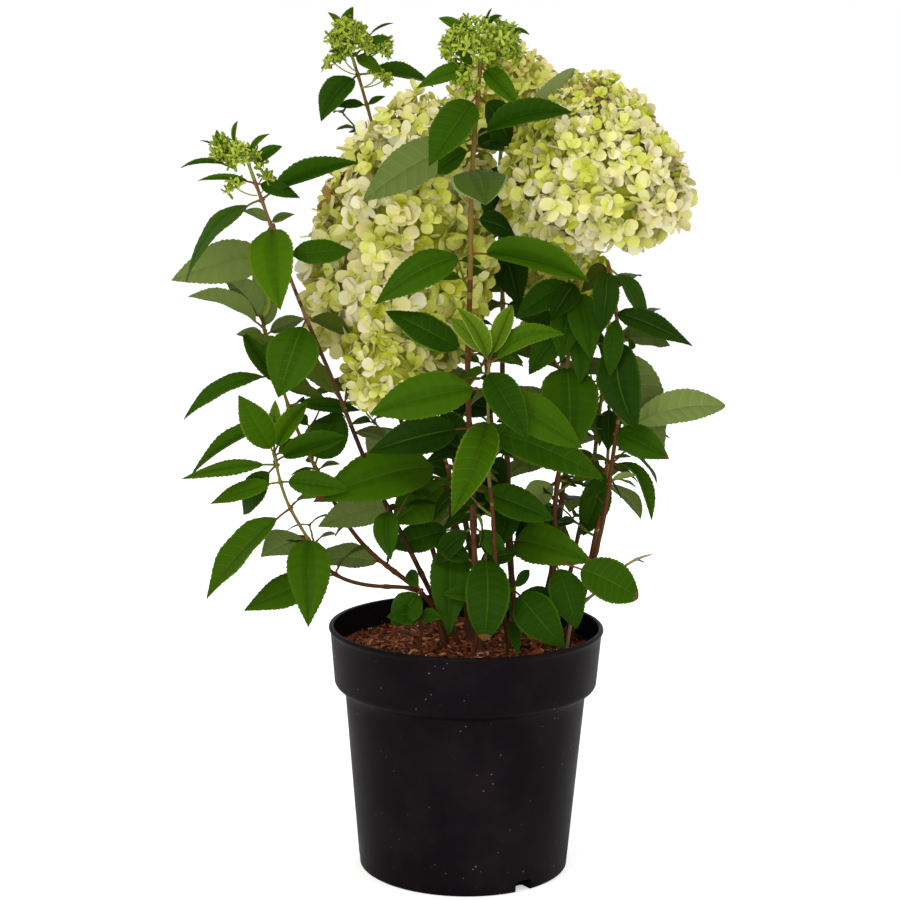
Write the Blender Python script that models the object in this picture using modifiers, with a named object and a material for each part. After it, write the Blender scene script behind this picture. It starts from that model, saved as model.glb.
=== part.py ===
"""A potted panicle hydrangea, built as its maker would list it: pot, compost, canes, leafy shoots, blooms.

All sizes are in millimetres here and are turned into metres as each mesh is made. +Z is up, the front of the
plant faces -Y, and the origin is the middle of the pot's flat underside.
"""

import math
import random

import bmesh
import bpy
from mathutils import Matrix, Vector
from mathutils.bvhtree import BVHTree

MM = 0.001
CLEAR = 0.3  # gap between two pieces that touch on the real plant

# The pot: a thin tapered tub with a deep collar and a small rolled lip.
POT_HEIGHT = 206.0
LIP_RADIUS = 115.0
COLLAR_RADIUS = 113.4
COLLAR_FOOT_RADIUS = 110.0
COLLAR_FOOT = 160.0
BODY_TOP_RADIUS = 101.6
BODY_TOP = 151.0
FOOT_RADIUS = 88.0
FOOT_ROUNDING = 2.0
TUCK_ROUNDING = 6.0  # where the collar turns in to the body
WALL = 2.2
FLOOR = 3.0
POT_STEPS = 40
DRAIN_COUNT = 3
DRAIN_TURN = -56.0
DRAIN_SIZE = (26.0, 15.5, 19.0)  # into the pot, along its foot, and up, half of it below the foot

# The compost that fills the pot.
SOIL_TOP = 183.0
SOIL_FLAT_RADIUS = 100.0
SOIL_EDGE_DROP = 5.0
FACET_GAP = 0.5  # flat facets cut a round wall's corners, so compost keeps this much further off
DRAIN_CLEARANCE = 3.0

# Canes and leaves.
FOOT_FLARE = 1.45  # a cane's foot is this much thicker than the cane above it
FLARE_LENGTH = 14.0
PETIOLE = 0.15  # share of a leaf's reach that is stalk
PETIOLE_RADIUS = 1.0
PETIOLE_SLIMNESS = 0.035  # a small leaf's stalk is this share of its length in radius
MIDRIB_DEPTH = 0.6
BLADE_FOLD = 0.13  # how far the blade's edges lift from its midrib, as a share of half its width
BLADE_ARCH = 0.13
CREST = 0.45  # where along its reach a leaf arches highest
BLADE_SECTIONS = ((0.26, 0.93), (0.62, 0.8))  # share of the blade's length, and of its half width there
LEAF_ROOT = 0.6  # how far a leaf's stalk starts inside its stem
NUDGES = (0, 7, -7, 14, -14, 22, -22, 30, -30, 40, -40)  # turns a crowded leaf may take, in degrees

# Which way the upper face of a leaf looks, beside upwards.
FRONT = Vector((0.0, -1.0, 0.55))
BACK = Vector((0.0, 1.0, 0.75))
FRONT_LEFT = Vector((-0.8, -0.8, 0.7))
FRONT_RIGHT = Vector((0.8, -0.8, 0.7))
SKY = Vector((0.0, 0.0, 1.0))
OUTWARD = None

# Blooms: an egg-shaped head of florets, widest at this share of its height.
BELLY = 0.33
APEX_CURVE = 1.9  # a head's outline is a superellipse: fuller than this below its belly, see BASE_CURVE
BASE_CURVE = 2.6
CORE_SHARE = 0.84
FLORET_NOTCH = 0.56
FLORET_CUP = 0.14
FLORET_ROOT = 1.4  # how deep a floret is rooted, as a share of its size
FLORET_TILT = 0.22
BARE_BASE = 0.04  # share of a head's skin, round its stalk, with no florets
BUD_KNOT = 6.2
BUD_TWIG_RADIUS = 0.9
SIDE_TWIG_RADIUS = 1.3
GOLDEN_ANGLE = math.pi * (3 - math.sqrt(5))

MATERIALS = {
    "pot_plastic": ((0.012, 0.011, 0.012), 0.38),
    "compost": ((0.11, 0.045, 0.022), 0.95),
    "young_bark": ((0.16, 0.062, 0.034), 0.6),
    "leaf": ((0.045, 0.15, 0.012), 0.45),
    "floret": ((0.72, 0.76, 0.42), 0.6),
    "bud": ((0.22, 0.42, 0.05), 0.55),
}


def leaf(right, back, up, face=OUTWARD, broad=0.0):
    """One leaf: the way from its node to its tip, where its upper face looks, and its width to length."""
    return {"reach": Vector((right, back, up)), "face": face, "broad": broad}


def pair(along, first, second=None):
    """Two opposite leaves at one node, a share of the way up their cane."""
    return along, [one for one in (first, second) if one]


def crossed_pairs(seed, first, last, count, turn, length):
    """Opposite pairs, each turned a right angle from the one below, smaller towards the tip of the cane."""
    rng = random.Random(seed)
    pairs = []
    for k in range(count):
        share = k / max(1, count - 1)
        leaves = []
        for side in (0, 180):
            heading = math.radians(turn + 90 * k + side + rng.uniform(-14, 14))
            dip = math.radians(rng.uniform(-38, -12) + 42 * share)
            size = length * (1 - 0.35 * share) * rng.uniform(0.88, 1.08)
            level = size * math.cos(dip)
            leaves.append(
                leaf(level * math.cos(heading), level * math.sin(heading), size * math.sin(dip))
            )
        pairs.append(pair(first + (last - first) * share, *leaves))
    return pairs


# Each cane: its foot on the compost, the point half way along it, its tip, its radius at foot and tip, and
# the share of it that is bare. Its leaves grow in pairs; bloom and buds are what it carries.
CANES = {
    "left_tall": {
        "foot": (-2, 2),
        "middle": (-85, -25, 352),
        "tip": (-172, -50, 576),
        "radius": (2.7, 1.6),
        "bare": 0.34,
        "pairs": [
            pair(0.385, leaf(-56, 14, -18, BACK, 0.5), leaf(-6, -30, -36, FRONT, 0.55)),
            pair(0.6, leaf(-84, 30, 58, BACK, 0.3), leaf(34, 22, -12, BACK, 0.4)),
            pair(0.765, leaf(-20, -34, -58, FRONT, 0.72), leaf(34, 44, -20, BACK)),
            pair(0.87, leaf(-94, 22, -18, BACK, 0.42), leaf(54, 14, 8, FRONT, 0.48)),
            pair(0.918, leaf(4, -50, -72, FRONT, 0.6), leaf(-4, 56, -22)),
            pair(0.928, leaf(-22, -8, 12, FRONT, 0.55), leaf(20, -8, 8, FRONT, 0.45)),
            pair(0.965, leaf(-56, -22, -68, FRONT_LEFT, 0.42), leaf(76, 6, 38, FRONT, 0.3)),
            pair(0.99, leaf(36, -14, -10, FRONT, 0.42), leaf(-46, 4, 4, FRONT, 0.14)),
        ],
        "buds": {"spread": 24, "tall": 32, "count": 12},
    },
    "left_low": {
        "foot": (-15, 9),
        "middle": (-110, 10, 303),
        "tip": (-171, 15, 455),
        "radius": (2.6, 1.4),
        "bare": 0.22,
        "pairs": [
            pair(0.25, leaf(-56, 8, 20, BACK, 0.42), leaf(16, 24, 16)),
            pair(0.62, leaf(30, 26, 42, FRONT, 0.85), leaf(38, -28, 22, FRONT, 0.42)),
            pair(0.75, leaf(-88, 6, -40, FRONT_LEFT, 0.2), leaf(36, 34, -14)),
            pair(0.83, leaf(-34, 10, 50, BACK, 0.36), leaf(36, 8, -8, BACK, 0.42)),
            pair(0.9, leaf(-78, -6, -40, FRONT_LEFT, 0.28), leaf(26, 34, -14)),
            pair(0.97, leaf(32, 8, 14, BACK, 0.55), leaf(-24, -8, 2, BACK, 0.6)),
            pair(0.985, leaf(-62, -6, 34, BACK, 0.26), leaf(8, 16, 36, BACK, 0.5)),
            pair(0.998, leaf(-34, 4, 42, BACK, 0.62), leaf(-10, 14, 44, BACK, 0.4)),
        ],
    },
    "left_trailing": {
        "foot": (-17, -8),
        "middle": (-114, -31, 260),
        "tip": (-157, -40, 356),
        "radius": (2.2, 1.3),
        "bare": 0.4,
        "pairs": [
            pair(0.45, leaf(-74, -14, -26, FRONT_LEFT, 0.55), leaf(26, 34, 18)),
            pair(0.63, leaf(3, -44, -60, FRONT, 0.6), leaf(-34, 40, -22, BACK, 0.7)),
            pair(0.77, leaf(-66, -22, -70, FRONT_LEFT, 0.48), leaf(24, 28, 6)),
            pair(0.88, leaf(56, -12, -8, FRONT, 0.46), leaf(-58, 6, -18, FRONT, 0.34)),
            pair(0.95, leaf(-76, -10, -10, FRONT, 0.22), leaf(-30, 28, -44, FRONT, 0.5)),
            pair(0.985, leaf(-28, -12, 54, FRONT, 0.5), leaf(24, 8, 12, FRONT, 0.5)),
            pair(0.998, leaf(27, 4, 42, FRONT, 0.36), leaf(0, 10, 44, FRONT, 0.3)),
        ],
    },
    "bloom_left": {
        "foot": (6, 17),
        "middle": (-18, 25, 330),
        "tip": (-44, 48, 430),
        "radius": (4.6, 2.4),
        "bare": 0.29,
        "pairs": [
            pair(0.32, leaf(18, -56, -76, FRONT, 0.42), leaf(-40, -6, -4, FRONT, 0.5)),
            pair(0.47, leaf(-22, -32, -42, FRONT, 0.85), leaf(-12, 30, -34)),
            pair(0.515, leaf(-98, -34, -14, FRONT, 0.42), leaf(44, 12, -12)),
            pair(0.8, leaf(-50, 42, -26), leaf(48, 36, -22)),
        ],
        "bloom": {
            "base": (-56, 50, 442),
            "apex": (-36, 52, 652),
            "radius": 84,
            "depth": 0.88,
            "florets": 30,
            "size": 18,
        },
        "side_bloom": {
            "along": 0.72,
            "base": (-58, 2, 394),
            "apex": (-82, -2, 452),
            "radius": 34,
            "depth": 1.0,
            "florets": 12,
            "size": 15,
        },
    },
    "back_tall": {
        "foot": (18, 34),
        "middle": (-36, 140, 432),
        "tip": (-100, 96, 670),
        "radius": (3.2, 1.5),
        "bare": 0.3,
        "pairs": crossed_pairs(3, 0.34, 0.7, 4, 20, 86)
        + [
            pair(0.925, leaf(-26, -6, 0, FRONT, 0.4), leaf(16, -6, 9, FRONT, 0.4)),
            pair(0.98, leaf(-30, -22, -38, FRONT, 0.6), leaf(72, 6, -6, FRONT, 0.26)),
        ],
        "buds": {"spread": 33, "tall": 34, "count": 14},
    },
    "centre_front": {
        "foot": (13, -14),
        "middle": (-1, -40, 441),
        "tip": (6, -32, 670),
        "radius": (3.3, 1.9),
        "bare": 0.2,
        "pairs": [
            pair(0.235, leaf(16, -26, -36, BACK, 0.55), leaf(-26, 18, -20)),
            pair(0.27, leaf(66, -10, -36, FRONT, 0.5), leaf(-32, 24, -30)),
            pair(0.37, leaf(-81, -14, -18, FRONT, 0.46), leaf(110, -24, -44, FRONT, 0.4)),
            pair(0.49, leaf(-66, -8, 38, FRONT, 0.46), leaf(46, 34, -8)),
            pair(0.66, leaf(-75, -24, -36, FRONT, 0.44), leaf(94, -18, -18, FRONT, 0.3)),
            pair(0.8, leaf(-4, -66, -10, SKY, 0.7), leaf(5, 56, -16)),
            pair(0.86, leaf(76, -6, 21, FRONT, 0.3), leaf(-88, -4, -47, BACK, 0.42)),
            pair(0.935, leaf(-38, -28, -55, FRONT, 0.6), leaf(32, 32, -18)),
            pair(0.985, leaf(30, -16, -28, FRONT, 0.55), leaf(-50, 4, -14, FRONT, 0.36)),
        ],
        "buds": {"spread": 37, "tall": 32, "count": 18},
    },
    "fresh_front": {
        "foot": (37, -4),
        "middle": (18, -55, 321),
        "tip": (15, -85, 438),
        "radius": (2.2, 1.4),
        "bare": 0.5,
        "pairs": [
            pair(0.77, leaf(-28, -40, -66, FRONT, 0.54), leaf(22, 46, -26)),
            pair(0.89, leaf(-92, -20, -18, FRONT, 0.48), leaf(74, -10, -44, FRONT, 0.42)),
            pair(0.945, leaf(30, -34, -44, FRONT, 0.62), leaf(-24, 38, -12)),
            pair(0.985, leaf(-26, -8, 46, FRONT, 0.3), leaf(58, -10, 22, FRONT, 0.42)),
            pair(0.998, leaf(-31, 20, 33, FRONT, 0.4), leaf(17, 6, 44, FRONT, 0.34)),
        ],
    },
    "centre_back": {
        "foot": (43, 24),
        "middle": (31, 68, 388),
        "tip": (26, 134, 584),
        "radius": (3.4, 1.9),
        "bare": 0.15,
        "pairs": [
            pair(0.185, leaf(76, -48, -12, FRONT, 0.48), leaf(-40, 34, -10)),
            pair(0.3, leaf(40, -34, -24, FRONT), leaf(-48, 20, -30)),
            pair(0.52, leaf(60, 30, -30), leaf(-54, -30, -28)),
            pair(0.7, leaf(50, -46, -20, FRONT), leaf(-30, 52, -20)),
            pair(0.86, leaf(26, -34, 44, FRONT, 0.6), leaf(-34, 52, -24)),
            pair(0.96, leaf(56, -62, 88, FRONT, 0.36), leaf(-40, 32, -30)),
        ],
        "bloom": {
            "base": (30, 148, 602),
            "apex": (38, 150, 695),
            "radius": 54,
            "depth": 0.9,
            "florets": 18,
            "size": 17,
        },
    },
    "bloom_right": {
        "foot": (70, 17),
        "middle": (76, 15, 335),
        "tip": (88, 15, 498),
        "radius": (3.0, 2.1),
        "bare": 0.4,
        "pairs": [
            pair(0.47, leaf(-28, 10, -28, BACK, 0.85), leaf(40, 22, -22)),
            pair(0.64, leaf(-44, 40, -24), leaf(34, 44, -30)),
            pair(0.77, leaf(12, -38, -52, FRONT, 0.95), leaf(-5, 52, -20)),
            pair(0.9, leaf(-52, -12, -40, FRONT, 0.5), leaf(30, 34, -52)),
            pair(0.97, leaf(-12, -24, -58, FRONT, 0.5), leaf(8, -34, -36, FRONT, 0.55)),
        ],
        "bloom": {
            "base": (100, 15, 514),
            "apex": (106, 15, 662),
            "radius": 79,
            "depth": 0.88,
            "florets": 30,
            "size": 18,
        },
    },
    "right_tall": {
        "foot": (86, 18),
        "middle": (122, -5, 368),
        "tip": (111, -2, 512),
        "radius": (2.7, 1.5),
        "bare": 0.34,
        "pairs": [
            pair(0.38, leaf(24, 8, 6, BACK, 0.4), leaf(-22, -14, -10)),
            pair(0.505, leaf(88, -8, 22, BACK, 0.36), leaf(36, -22, -24, FRONT, 0.66)),
            pair(0.75, leaf(24, -30, -64, FRONT_RIGHT, 0.54), leaf(46, 24, -88, BACK, 0.42)),
            pair(0.86, leaf(70, -12, -20, FRONT_RIGHT, 0.44), leaf(-6, -24, -50, FRONT, 0.32)),
            pair(0.97, leaf(28, 6, -38, FRONT_RIGHT, 0.46), leaf(-20, 44, -22)),
        ],
    },
    "right_short": {
        "foot": (84, 36),
        "middle": (114, 48, 290),
        "tip": (120, 56, 385),
        "radius": (2.8, 1.5),
        "bare": 0.5,
        "pairs": [
            pair(0.72, leaf(-30, 10, -56, FRONT, 0.42), leaf(44, -42, -34, FRONT_RIGHT, 0.22)),
            pair(0.9, leaf(-28, 40, -10), leaf(34, 36, -10)),
            pair(0.995, leaf(-6, -30, -34, FRONT, 0.55), leaf(10, 34, 26)),
        ],
    },
    "back_left": {
        "foot": (-8, 40),
        "middle": (-56, 116, 350),
        "tip": (-96, 158, 508),
        "radius": (2.8, 1.5),
        "bare": 0.33,
        "pairs": crossed_pairs(11, 0.37, 0.99, 6, 35, 92),
    },
    "back_right": {
        "foot": (60, 46),
        "middle": (86, 104, 310),
        "tip": (82, 138, 424),
        "radius": (3.0, 1.8),
        "bare": 0.36,
        "pairs": crossed_pairs(23, 0.42, 0.9, 4, 70, 88),
        "bloom": {
            "base": (82, 141, 440),
            "apex": (86, 146, 532),
            "radius": 42,
            "depth": 1.0,
            "florets": 12,
            "size": 16,
        },
    },
    "back_middle": {
        "foot": (28, 56),
        "middle": (24, 138, 320),
        "tip": (10, 186, 470),
        "radius": (2.7, 1.5),
        "bare": 0.36,
        "pairs": crossed_pairs(31, 0.42, 0.99, 5, 10, 92),
    },
    "far_right": {
        "foot": (76, 56),
        "middle": (112, 112, 330),
        "tip": (124, 136, 474),
        "radius": (2.7, 1.5),
        "bare": 0.36,
        "pairs": crossed_pairs(47, 0.42, 0.99, 5, 50, 84),
    },
}

# Short leafy shoots from the crown, whose leaves hang over the compost.
BASAL_SHOOTS = {
    "basal_front": {
        "foot": (6, -27),
        "middle": (12, -32, 228),
        "tip": (15, -35, 270),
        "radius": (1.9, 1.4),
        "pairs": [
            pair(0.6, leaf(-34, -6, 4, FRONT, 0.5), leaf(26, -6, 8, FRONT, 0.4)),
            pair(0.98, leaf(-1, -36, -62, FRONT, 0.74), leaf(-10, 34, 10)),
        ],
    },
    "basal_middle": {
        "foot": (34, -22),
        "middle": (37, -26, 214),
        "tip": (38, -29, 244),
        "radius": (1.8, 1.3),
        "pairs": [
            pair(0.55, leaf(6, -28, -22, FRONT, 0.34), leaf(-8, 26, 14)),
            pair(0.97, leaf(42, -32, -38, FRONT, 0.64), leaf(14, 18, 14)),
        ],
    },
    "basal_right": {
        "foot": (74, -4),
        "middle": (74, -8, 224),
        "tip": (73, -12, 265),
        "radius": (1.9, 1.4),
        "pairs": [
            pair(0.6, leaf(-28, -10, 6, FRONT, 0.5), leaf(30, 12, 6)),
            pair(0.97, leaf(4, -30, -50, FRONT, 0.64), leaf(68, -18, -34, FRONT, 0.58)),
        ],
    },
    "basal_left": {
        "foot": (-36, -32),
        "middle": (-38, -32, 213),
        "tip": (-37, -31, 243),
        "radius": (1.8, 1.3),
        "pairs": [
            pair(0.6, leaf(-26, -26, 8, FRONT, 0.6), leaf(20, -22, 6, FRONT, 0.5)),
            pair(0.97, leaf(-24, -18, -24, FRONT, 0.8), leaf(-6, 30, 12)),
        ],
    },
}

# The dead, cut-back twig at the right of the crown.
DEAD_TWIG = {
    "foot": (89, -14),
    "middle": (113, -9, 242),
    "tip": (154, -4, 268),
    "radius": (1.9, 1.2),
    "snag": (6, -2, -2),
    "snag_radius": 0.9,
}


def material(slot):
    """The plain surface of one material slot, made once."""
    made = bpy.data.materials.get(slot)
    if made is None:
        colour, roughness = MATERIALS[slot]
        made = bpy.data.materials.new(slot)
        made.use_nodes = True
        shader = made.node_tree.nodes["Principled BSDF"]
        shader.inputs["Base Color"].default_value = (*colour, 1.0)
        shader.inputs["Roughness"].default_value = roughness
        shader.inputs["Metallic"].default_value = 0.0
    return made


def collection(name):
    """A collection of the scene, made once."""
    made = bpy.data.collections.get(name)
    if made is None:
        made = bpy.data.collections.new(name)
        bpy.context.scene.collection.children.link(made)
    return made


def object_from(bm, name, home, slot):
    """Turns a bmesh in millimetres into an object in metres."""
    bmesh.ops.recalc_face_normals(bm, faces=bm.faces)
    bmesh.ops.scale(bm, vec=(MM, MM, MM), verts=bm.verts)
    mesh = bpy.data.meshes.new(name)
    bm.to_mesh(mesh)
    bm.free()
    mesh.materials.append(material(slot))
    made = bpy.data.objects.new(name, mesh)
    home.objects.link(made)
    return made


def smooth(obj, degrees=40.0):
    """Shades a rounded piece smooth, with its sharper edges kept."""
    obj.data.shade_smooth()
    obj.data.set_sharp_from_angle(angle=math.radians(degrees))


class Line:
    """A cane's centre line: a parabola through its foot, its middle point and its tip."""

    def __init__(self, foot, middle, tip):
        self.foot, self.tip = Vector(foot), Vector(tip)
        self.bend = 2 * Vector(middle) - (self.foot + self.tip) / 2

    def at(self, t):
        return (1 - t) ** 2 * self.foot + 2 * (1 - t) * t * self.bend + t * t * self.tip

    def heading(self, t):
        return (2 * (1 - t) * (self.bend - self.foot) + 2 * t * (self.tip - self.bend)).normalized()

    def length(self):
        steps = [self.at(k / 20) for k in range(21)]
        return sum((b - a).length for a, b in zip(steps, steps[1:]))


def line_of(plan):
    """The centre line of a cane or basal shoot in the plan."""
    return Line((*plan["foot"], SOIL_TOP), plan["middle"], plan["tip"])


def radius_at(plan, t):
    thick, thin = plan["radius"]
    return thick + (thin - thick) * t


def tube(points, radii, name, home, slot):
    """A tapering six-sided limb: a beveled curve made into a mesh with its caps welded."""
    curve = bpy.data.curves.new(name, "CURVE")
    curve.dimensions = "3D"
    curve.bevel_depth = 1.0 * MM
    curve.bevel_resolution = 1
    curve.use_fill_caps = True
    spline = curve.splines.new("POLY")
    spline.points.add(len(points) - 1)
    for knot, place, radius in zip(spline.points, points, radii):
        knot.co = (*(place * MM), 1.0)
        knot.radius = radius
    guide = bpy.data.objects.new(name, curve)
    home.objects.link(guide)
    graph = bpy.context.evaluated_depsgraph_get()
    mesh = bpy.data.meshes.new_from_object(guide.evaluated_get(graph))
    bpy.data.objects.remove(guide)
    bm = bmesh.new()
    bm.from_mesh(mesh)
    bmesh.ops.remove_doubles(bm, verts=bm.verts, dist=0.00001)
    bmesh.ops.recalc_face_normals(bm, faces=bm.faces)
    bm.to_mesh(mesh)
    bm.free()
    mesh.materials.clear()
    mesh.materials.append(material(slot))
    mesh.name = name
    made = bpy.data.objects.new(name, mesh)
    home.objects.link(made)
    return made


def joined(name, pieces, home):
    """One solid from overlapping pieces, by a Boolean union on their collection. The first one is kept."""
    body, rest = pieces[0], pieces[1:]
    body.name = name
    helpers = collection(name + "_pieces")
    for piece in rest:
        for owner in piece.users_collection:
            owner.objects.unlink(piece)
        helpers.objects.link(piece)
    if rest:
        union = body.modifiers.new("union", "BOOLEAN")
        union.operation = "UNION"
        union.operand_type = "COLLECTION"
        union.collection = helpers
        union.solver = "MANIFOLD"
        graph = bpy.context.evaluated_depsgraph_get()
        whole = bpy.data.meshes.new_from_object(body.evaluated_get(graph))
        body.modifiers.clear()
        body.data = whole
        whole.name = name
    for piece in rest:
        bpy.data.objects.remove(piece)
    bpy.data.collections.remove(helpers)
    for owner in body.users_collection:
        owner.objects.unlink(body)
    home.objects.link(body)
    return body


def turned(profile, name, home, slot, steps):
    """A turned solid: a closed profile of (radius, height), run down its outer side, swept by a Screw."""
    bm = bmesh.new()
    ring = [bm.verts.new((radius * MM, 0, height * MM)) for radius, height in profile]
    for a, b in zip(ring, ring[1:]):
        bm.edges.new((a, b))
    mesh = bpy.data.meshes.new(name)
    bm.to_mesh(mesh)
    bm.free()
    mesh.materials.append(material(slot))
    made = bpy.data.objects.new(name, mesh)
    home.objects.link(made)
    screw = made.modifiers.new("turn", "SCREW")
    screw.steps = screw.render_steps = steps
    screw.use_merge_vertices = True
    screw.merge_threshold = 0.00005
    return made


def arc(centre, radius, start, end, count):
    """Points of an arc in a profile, from one angle to another in degrees."""
    angles = [math.radians(start + (end - start) * k / count) for k in range(count + 1)]
    return [(centre[0] + radius * math.cos(a), centre[1] + radius * math.sin(a)) for a in angles]


def make_pot(home, cutters):
    """The tub: rolled lip, collar, tapered body and a flat foot with drain notches in its edge."""
    lip = arc((LIP_RADIUS - WALL, POT_HEIGHT - WALL), WALL, 90, -40, 3)
    tuck = arc((COLLAR_FOOT_RADIUS - TUCK_ROUNDING, COLLAR_FOOT), TUCK_ROUNDING, 0, -60, 2)
    foot = arc((FOOT_RADIUS - FOOT_ROUNDING, FOOT_ROUNDING), FOOT_ROUNDING, 0, -90, 2)
    outside = [(0, 0)] + foot[::-1] + [(BODY_TOP_RADIUS, BODY_TOP)] + tuck[::-1]
    outside += [(COLLAR_RADIUS, POT_HEIGHT - 3 * WALL)] + lip[::-1]
    inside = [
        (COLLAR_RADIUS - WALL, POT_HEIGHT - WALL),
        (COLLAR_FOOT_RADIUS - WALL, COLLAR_FOOT + WALL),
        (BODY_TOP_RADIUS - WALL, BODY_TOP - WALL),
        (FOOT_RADIUS - 2 * WALL, FLOOR),
        (0, FLOOR),
    ]
    pot = turned((outside + inside)[::-1], "pot", home, "pot_plastic", POT_STEPS)
    for k in range(DRAIN_COUNT):
        turn = math.radians(DRAIN_TURN + 360 * k / DRAIN_COUNT)
        bm = bmesh.new()
        bmesh.ops.create_cube(bm, size=1.0)
        bmesh.ops.scale(bm, vec=DRAIN_SIZE, verts=bm.verts)
        notch = object_from(bm, f"drain_notch_{k + 1}", cutters, "pot_plastic")
        notch.location = (FOOT_RADIUS * math.cos(turn) * MM, FOOT_RADIUS * math.sin(turn) * MM, 0.0)
        notch.rotation_euler = (0, 0, turn)
        notch.hide_render = True
        notch.display_type = "WIRE"
    cut = pot.modifiers.new("drains", "BOOLEAN")
    cut.operation = "DIFFERENCE"
    cut.operand_type = "COLLECTION"
    cut.collection = cutters
    cut.solver = "EXACT"
    smooth(pot)
    return pot


def make_soil(home):
    """Compost up to a finger below the rim, a little lower along the wall. Clear of the drain notches."""
    gap = WALL + CLEAR + FACET_GAP
    edge_height = SOIL_TOP - SOIL_EDGE_DROP
    lean = (COLLAR_RADIUS - COLLAR_FOOT_RADIUS) / (POT_HEIGHT - COLLAR_FOOT)
    drain_radius = FOOT_RADIUS - DRAIN_SIZE[0] / 2 - DRAIN_CLEARANCE
    profile = [
        (0, SOIL_TOP),
        (SOIL_FLAT_RADIUS, SOIL_TOP),
        (COLLAR_FOOT_RADIUS - gap + lean * (edge_height - COLLAR_FOOT), edge_height),
        (COLLAR_FOOT_RADIUS - gap, COLLAR_FOOT + WALL + CLEAR),
        (BODY_TOP_RADIUS - gap, BODY_TOP - WALL),
        (drain_radius, DRAIN_SIZE[2] / 2 + DRAIN_CLEARANCE),
        (drain_radius, FLOOR + CLEAR),
        (0, FLOOR + CLEAR),
    ]
    return turned(profile, "compost", home, "compost", POT_STEPS)


def cut_at_soil(stem):
    """Cuts a stem flat just above the compost and closes the cut."""
    bm = bmesh.new()
    bm.from_mesh(stem.data)
    bmesh.ops.bisect_plane(
        bm,
        geom=bm.verts[:] + bm.edges[:] + bm.faces[:],
        plane_co=(0, 0, (SOIL_TOP + CLEAR) * MM),
        plane_no=(0, 0, -1),
        clear_outer=True,
    )
    bmesh.ops.holes_fill(bm, edges=[e for e in bm.edges if e.is_boundary])
    bmesh.ops.recalc_face_normals(bm, faces=bm.faces)
    bm.to_mesh(stem.data)
    bm.free()
    return stem


def make_cane(name, plan, home):
    """The bare lower part of a cane, from its flared foot on the compost to its first leaves."""
    line = line_of(plan)
    end = plan["bare"]
    flare = FLARE_LENGTH / line.length()
    stops = [-0.03, flare * 0.3, flare] + [flare + (end - flare) * k for k in (0.5, 0.94, 1.0)]
    radii = [radius_at(plan, t) for t in stops]
    radii[0] *= FOOT_FLARE
    radii[1] *= (1 + FOOT_FLARE) / 2
    cane = cut_at_soil(tube([line.at(t) for t in stops], radii, "cane_" + name, home, "young_bark"))
    smooth(cane)
    return cane


def leaf_frame(node, plan):
    """Chord, facing and side directions of a leaf. A face turned outward looks away from the pot's axis."""
    reach, face = plan["reach"], plan["face"]
    chord = reach.normalized()
    if face is OUTWARD:
        middle = node + reach * 0.6
        away = Vector((middle.x, middle.y, 0)).normalized()
        face = away + Vector((0, 0, 0.9))
    facing = (face - face.dot(chord) * chord).normalized()
    return chord, facing, chord.cross(facing)


def leaf_width(reach, broad, rng):
    """Half the blade's width. Leaves with no stated breadth vary about the usual one."""
    usual = rng.uniform(0.4, 0.48)
    return reach.length * (1 - PETIOLE) * (broad or usual) / 2


def leaf_shape(node, plan, rng):
    """A leaf as one lofted solid: a stalk, then an arching blade with a keel, which ends in a point."""
    reach = plan["reach"]
    chord, facing, side = leaf_frame(node, plan)
    half = leaf_width(reach, plan["broad"], rng)
    start = node - chord * LEAF_ROOT
    crest = node + reach * CREST + facing * (BLADE_ARCH * reach.length * 2)
    end = node + reach
    stalk = min(PETIOLE_RADIUS, PETIOLE_SLIMNESS * reach.length)
    stations = [(s, stalk, 0.5 * stalk, stalk) for s in (0.0, PETIOLE)]
    for along, wide in BLADE_SECTIONS:
        stations.append((PETIOLE + along * (1 - PETIOLE), half * wide, half * BLADE_FOLD, MIDRIB_DEPTH))
    bm = bmesh.new()
    rings = []
    for s, wide, lift, deep in stations:
        centre = (1 - s) ** 2 * start + 2 * (1 - s) * s * crest + s * s * end
        edge = centre + facing * lift
        corners = (edge - side * wide, edge + side * wide, centre - facing * deep)
        rings.append([bm.verts.new(corner) for corner in corners])
    bm.faces.new(rings[0])
    for below, above in zip(rings, rings[1:]):
        for k in range(3):
            bm.faces.new((below[k], below[k - 1], above[k - 1], above[k]))
    tip = bm.verts.new(end)
    for k in range(3):
        bm.faces.new((rings[-1][k], rings[-1][k - 1], tip))
    bmesh.ops.triangulate(bm, faces=bm.faces)
    return bm


def tree_of(obj):
    """A search tree of an object's mesh, in millimetres, for finding what touches it."""
    graph = bpy.context.evaluated_depsgraph_get()
    solid = obj.evaluated_get(graph)
    mesh = solid.to_mesh()
    corners = [v.co / MM for v in mesh.vertices]
    faces = [tuple(p.vertices) for p in mesh.polygons]
    solid.to_mesh_clear()
    return BVHTree.FromPolygons(corners, faces)


def grow_leaf(owner, node, plan, seed, taken, home):
    """Sets a leaf at its node. A crowded one turns a little, and one that never comes clear is left out."""
    for nudge in NUDGES:
        turned_plan = {**plan, "reach": Matrix.Rotation(math.radians(nudge), 3, "Z") @ plan["reach"]}
        bm = leaf_shape(node, turned_plan, random.Random(seed))
        tree = BVHTree.FromBMesh(bm)
        if not any(name != owner and tree.overlap(other) for name, other in taken):
            taken.append((owner, tree))
            return object_from(bm, "leaf", home, "leaf")
        bm.free()
    return None


def shoot_stem(plan, name, home):
    """The leafy part of a cane, just clear of its bare part, or a whole shoot from the compost."""
    line = line_of(plan)
    first = plan["bare"] + CLEAR / line.length() if "bare" in plan else -0.06
    stops = [first + (1 - first) * k for k in (0.0, 0.04, 0.3, 0.6, 0.96, 1.0)]
    stem = tube([line.at(t) for t in stops], [radius_at(plan, t) for t in stops], name, home, "young_bark")
    return stem if "bare" in plan else cut_at_soil(stem)


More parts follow.
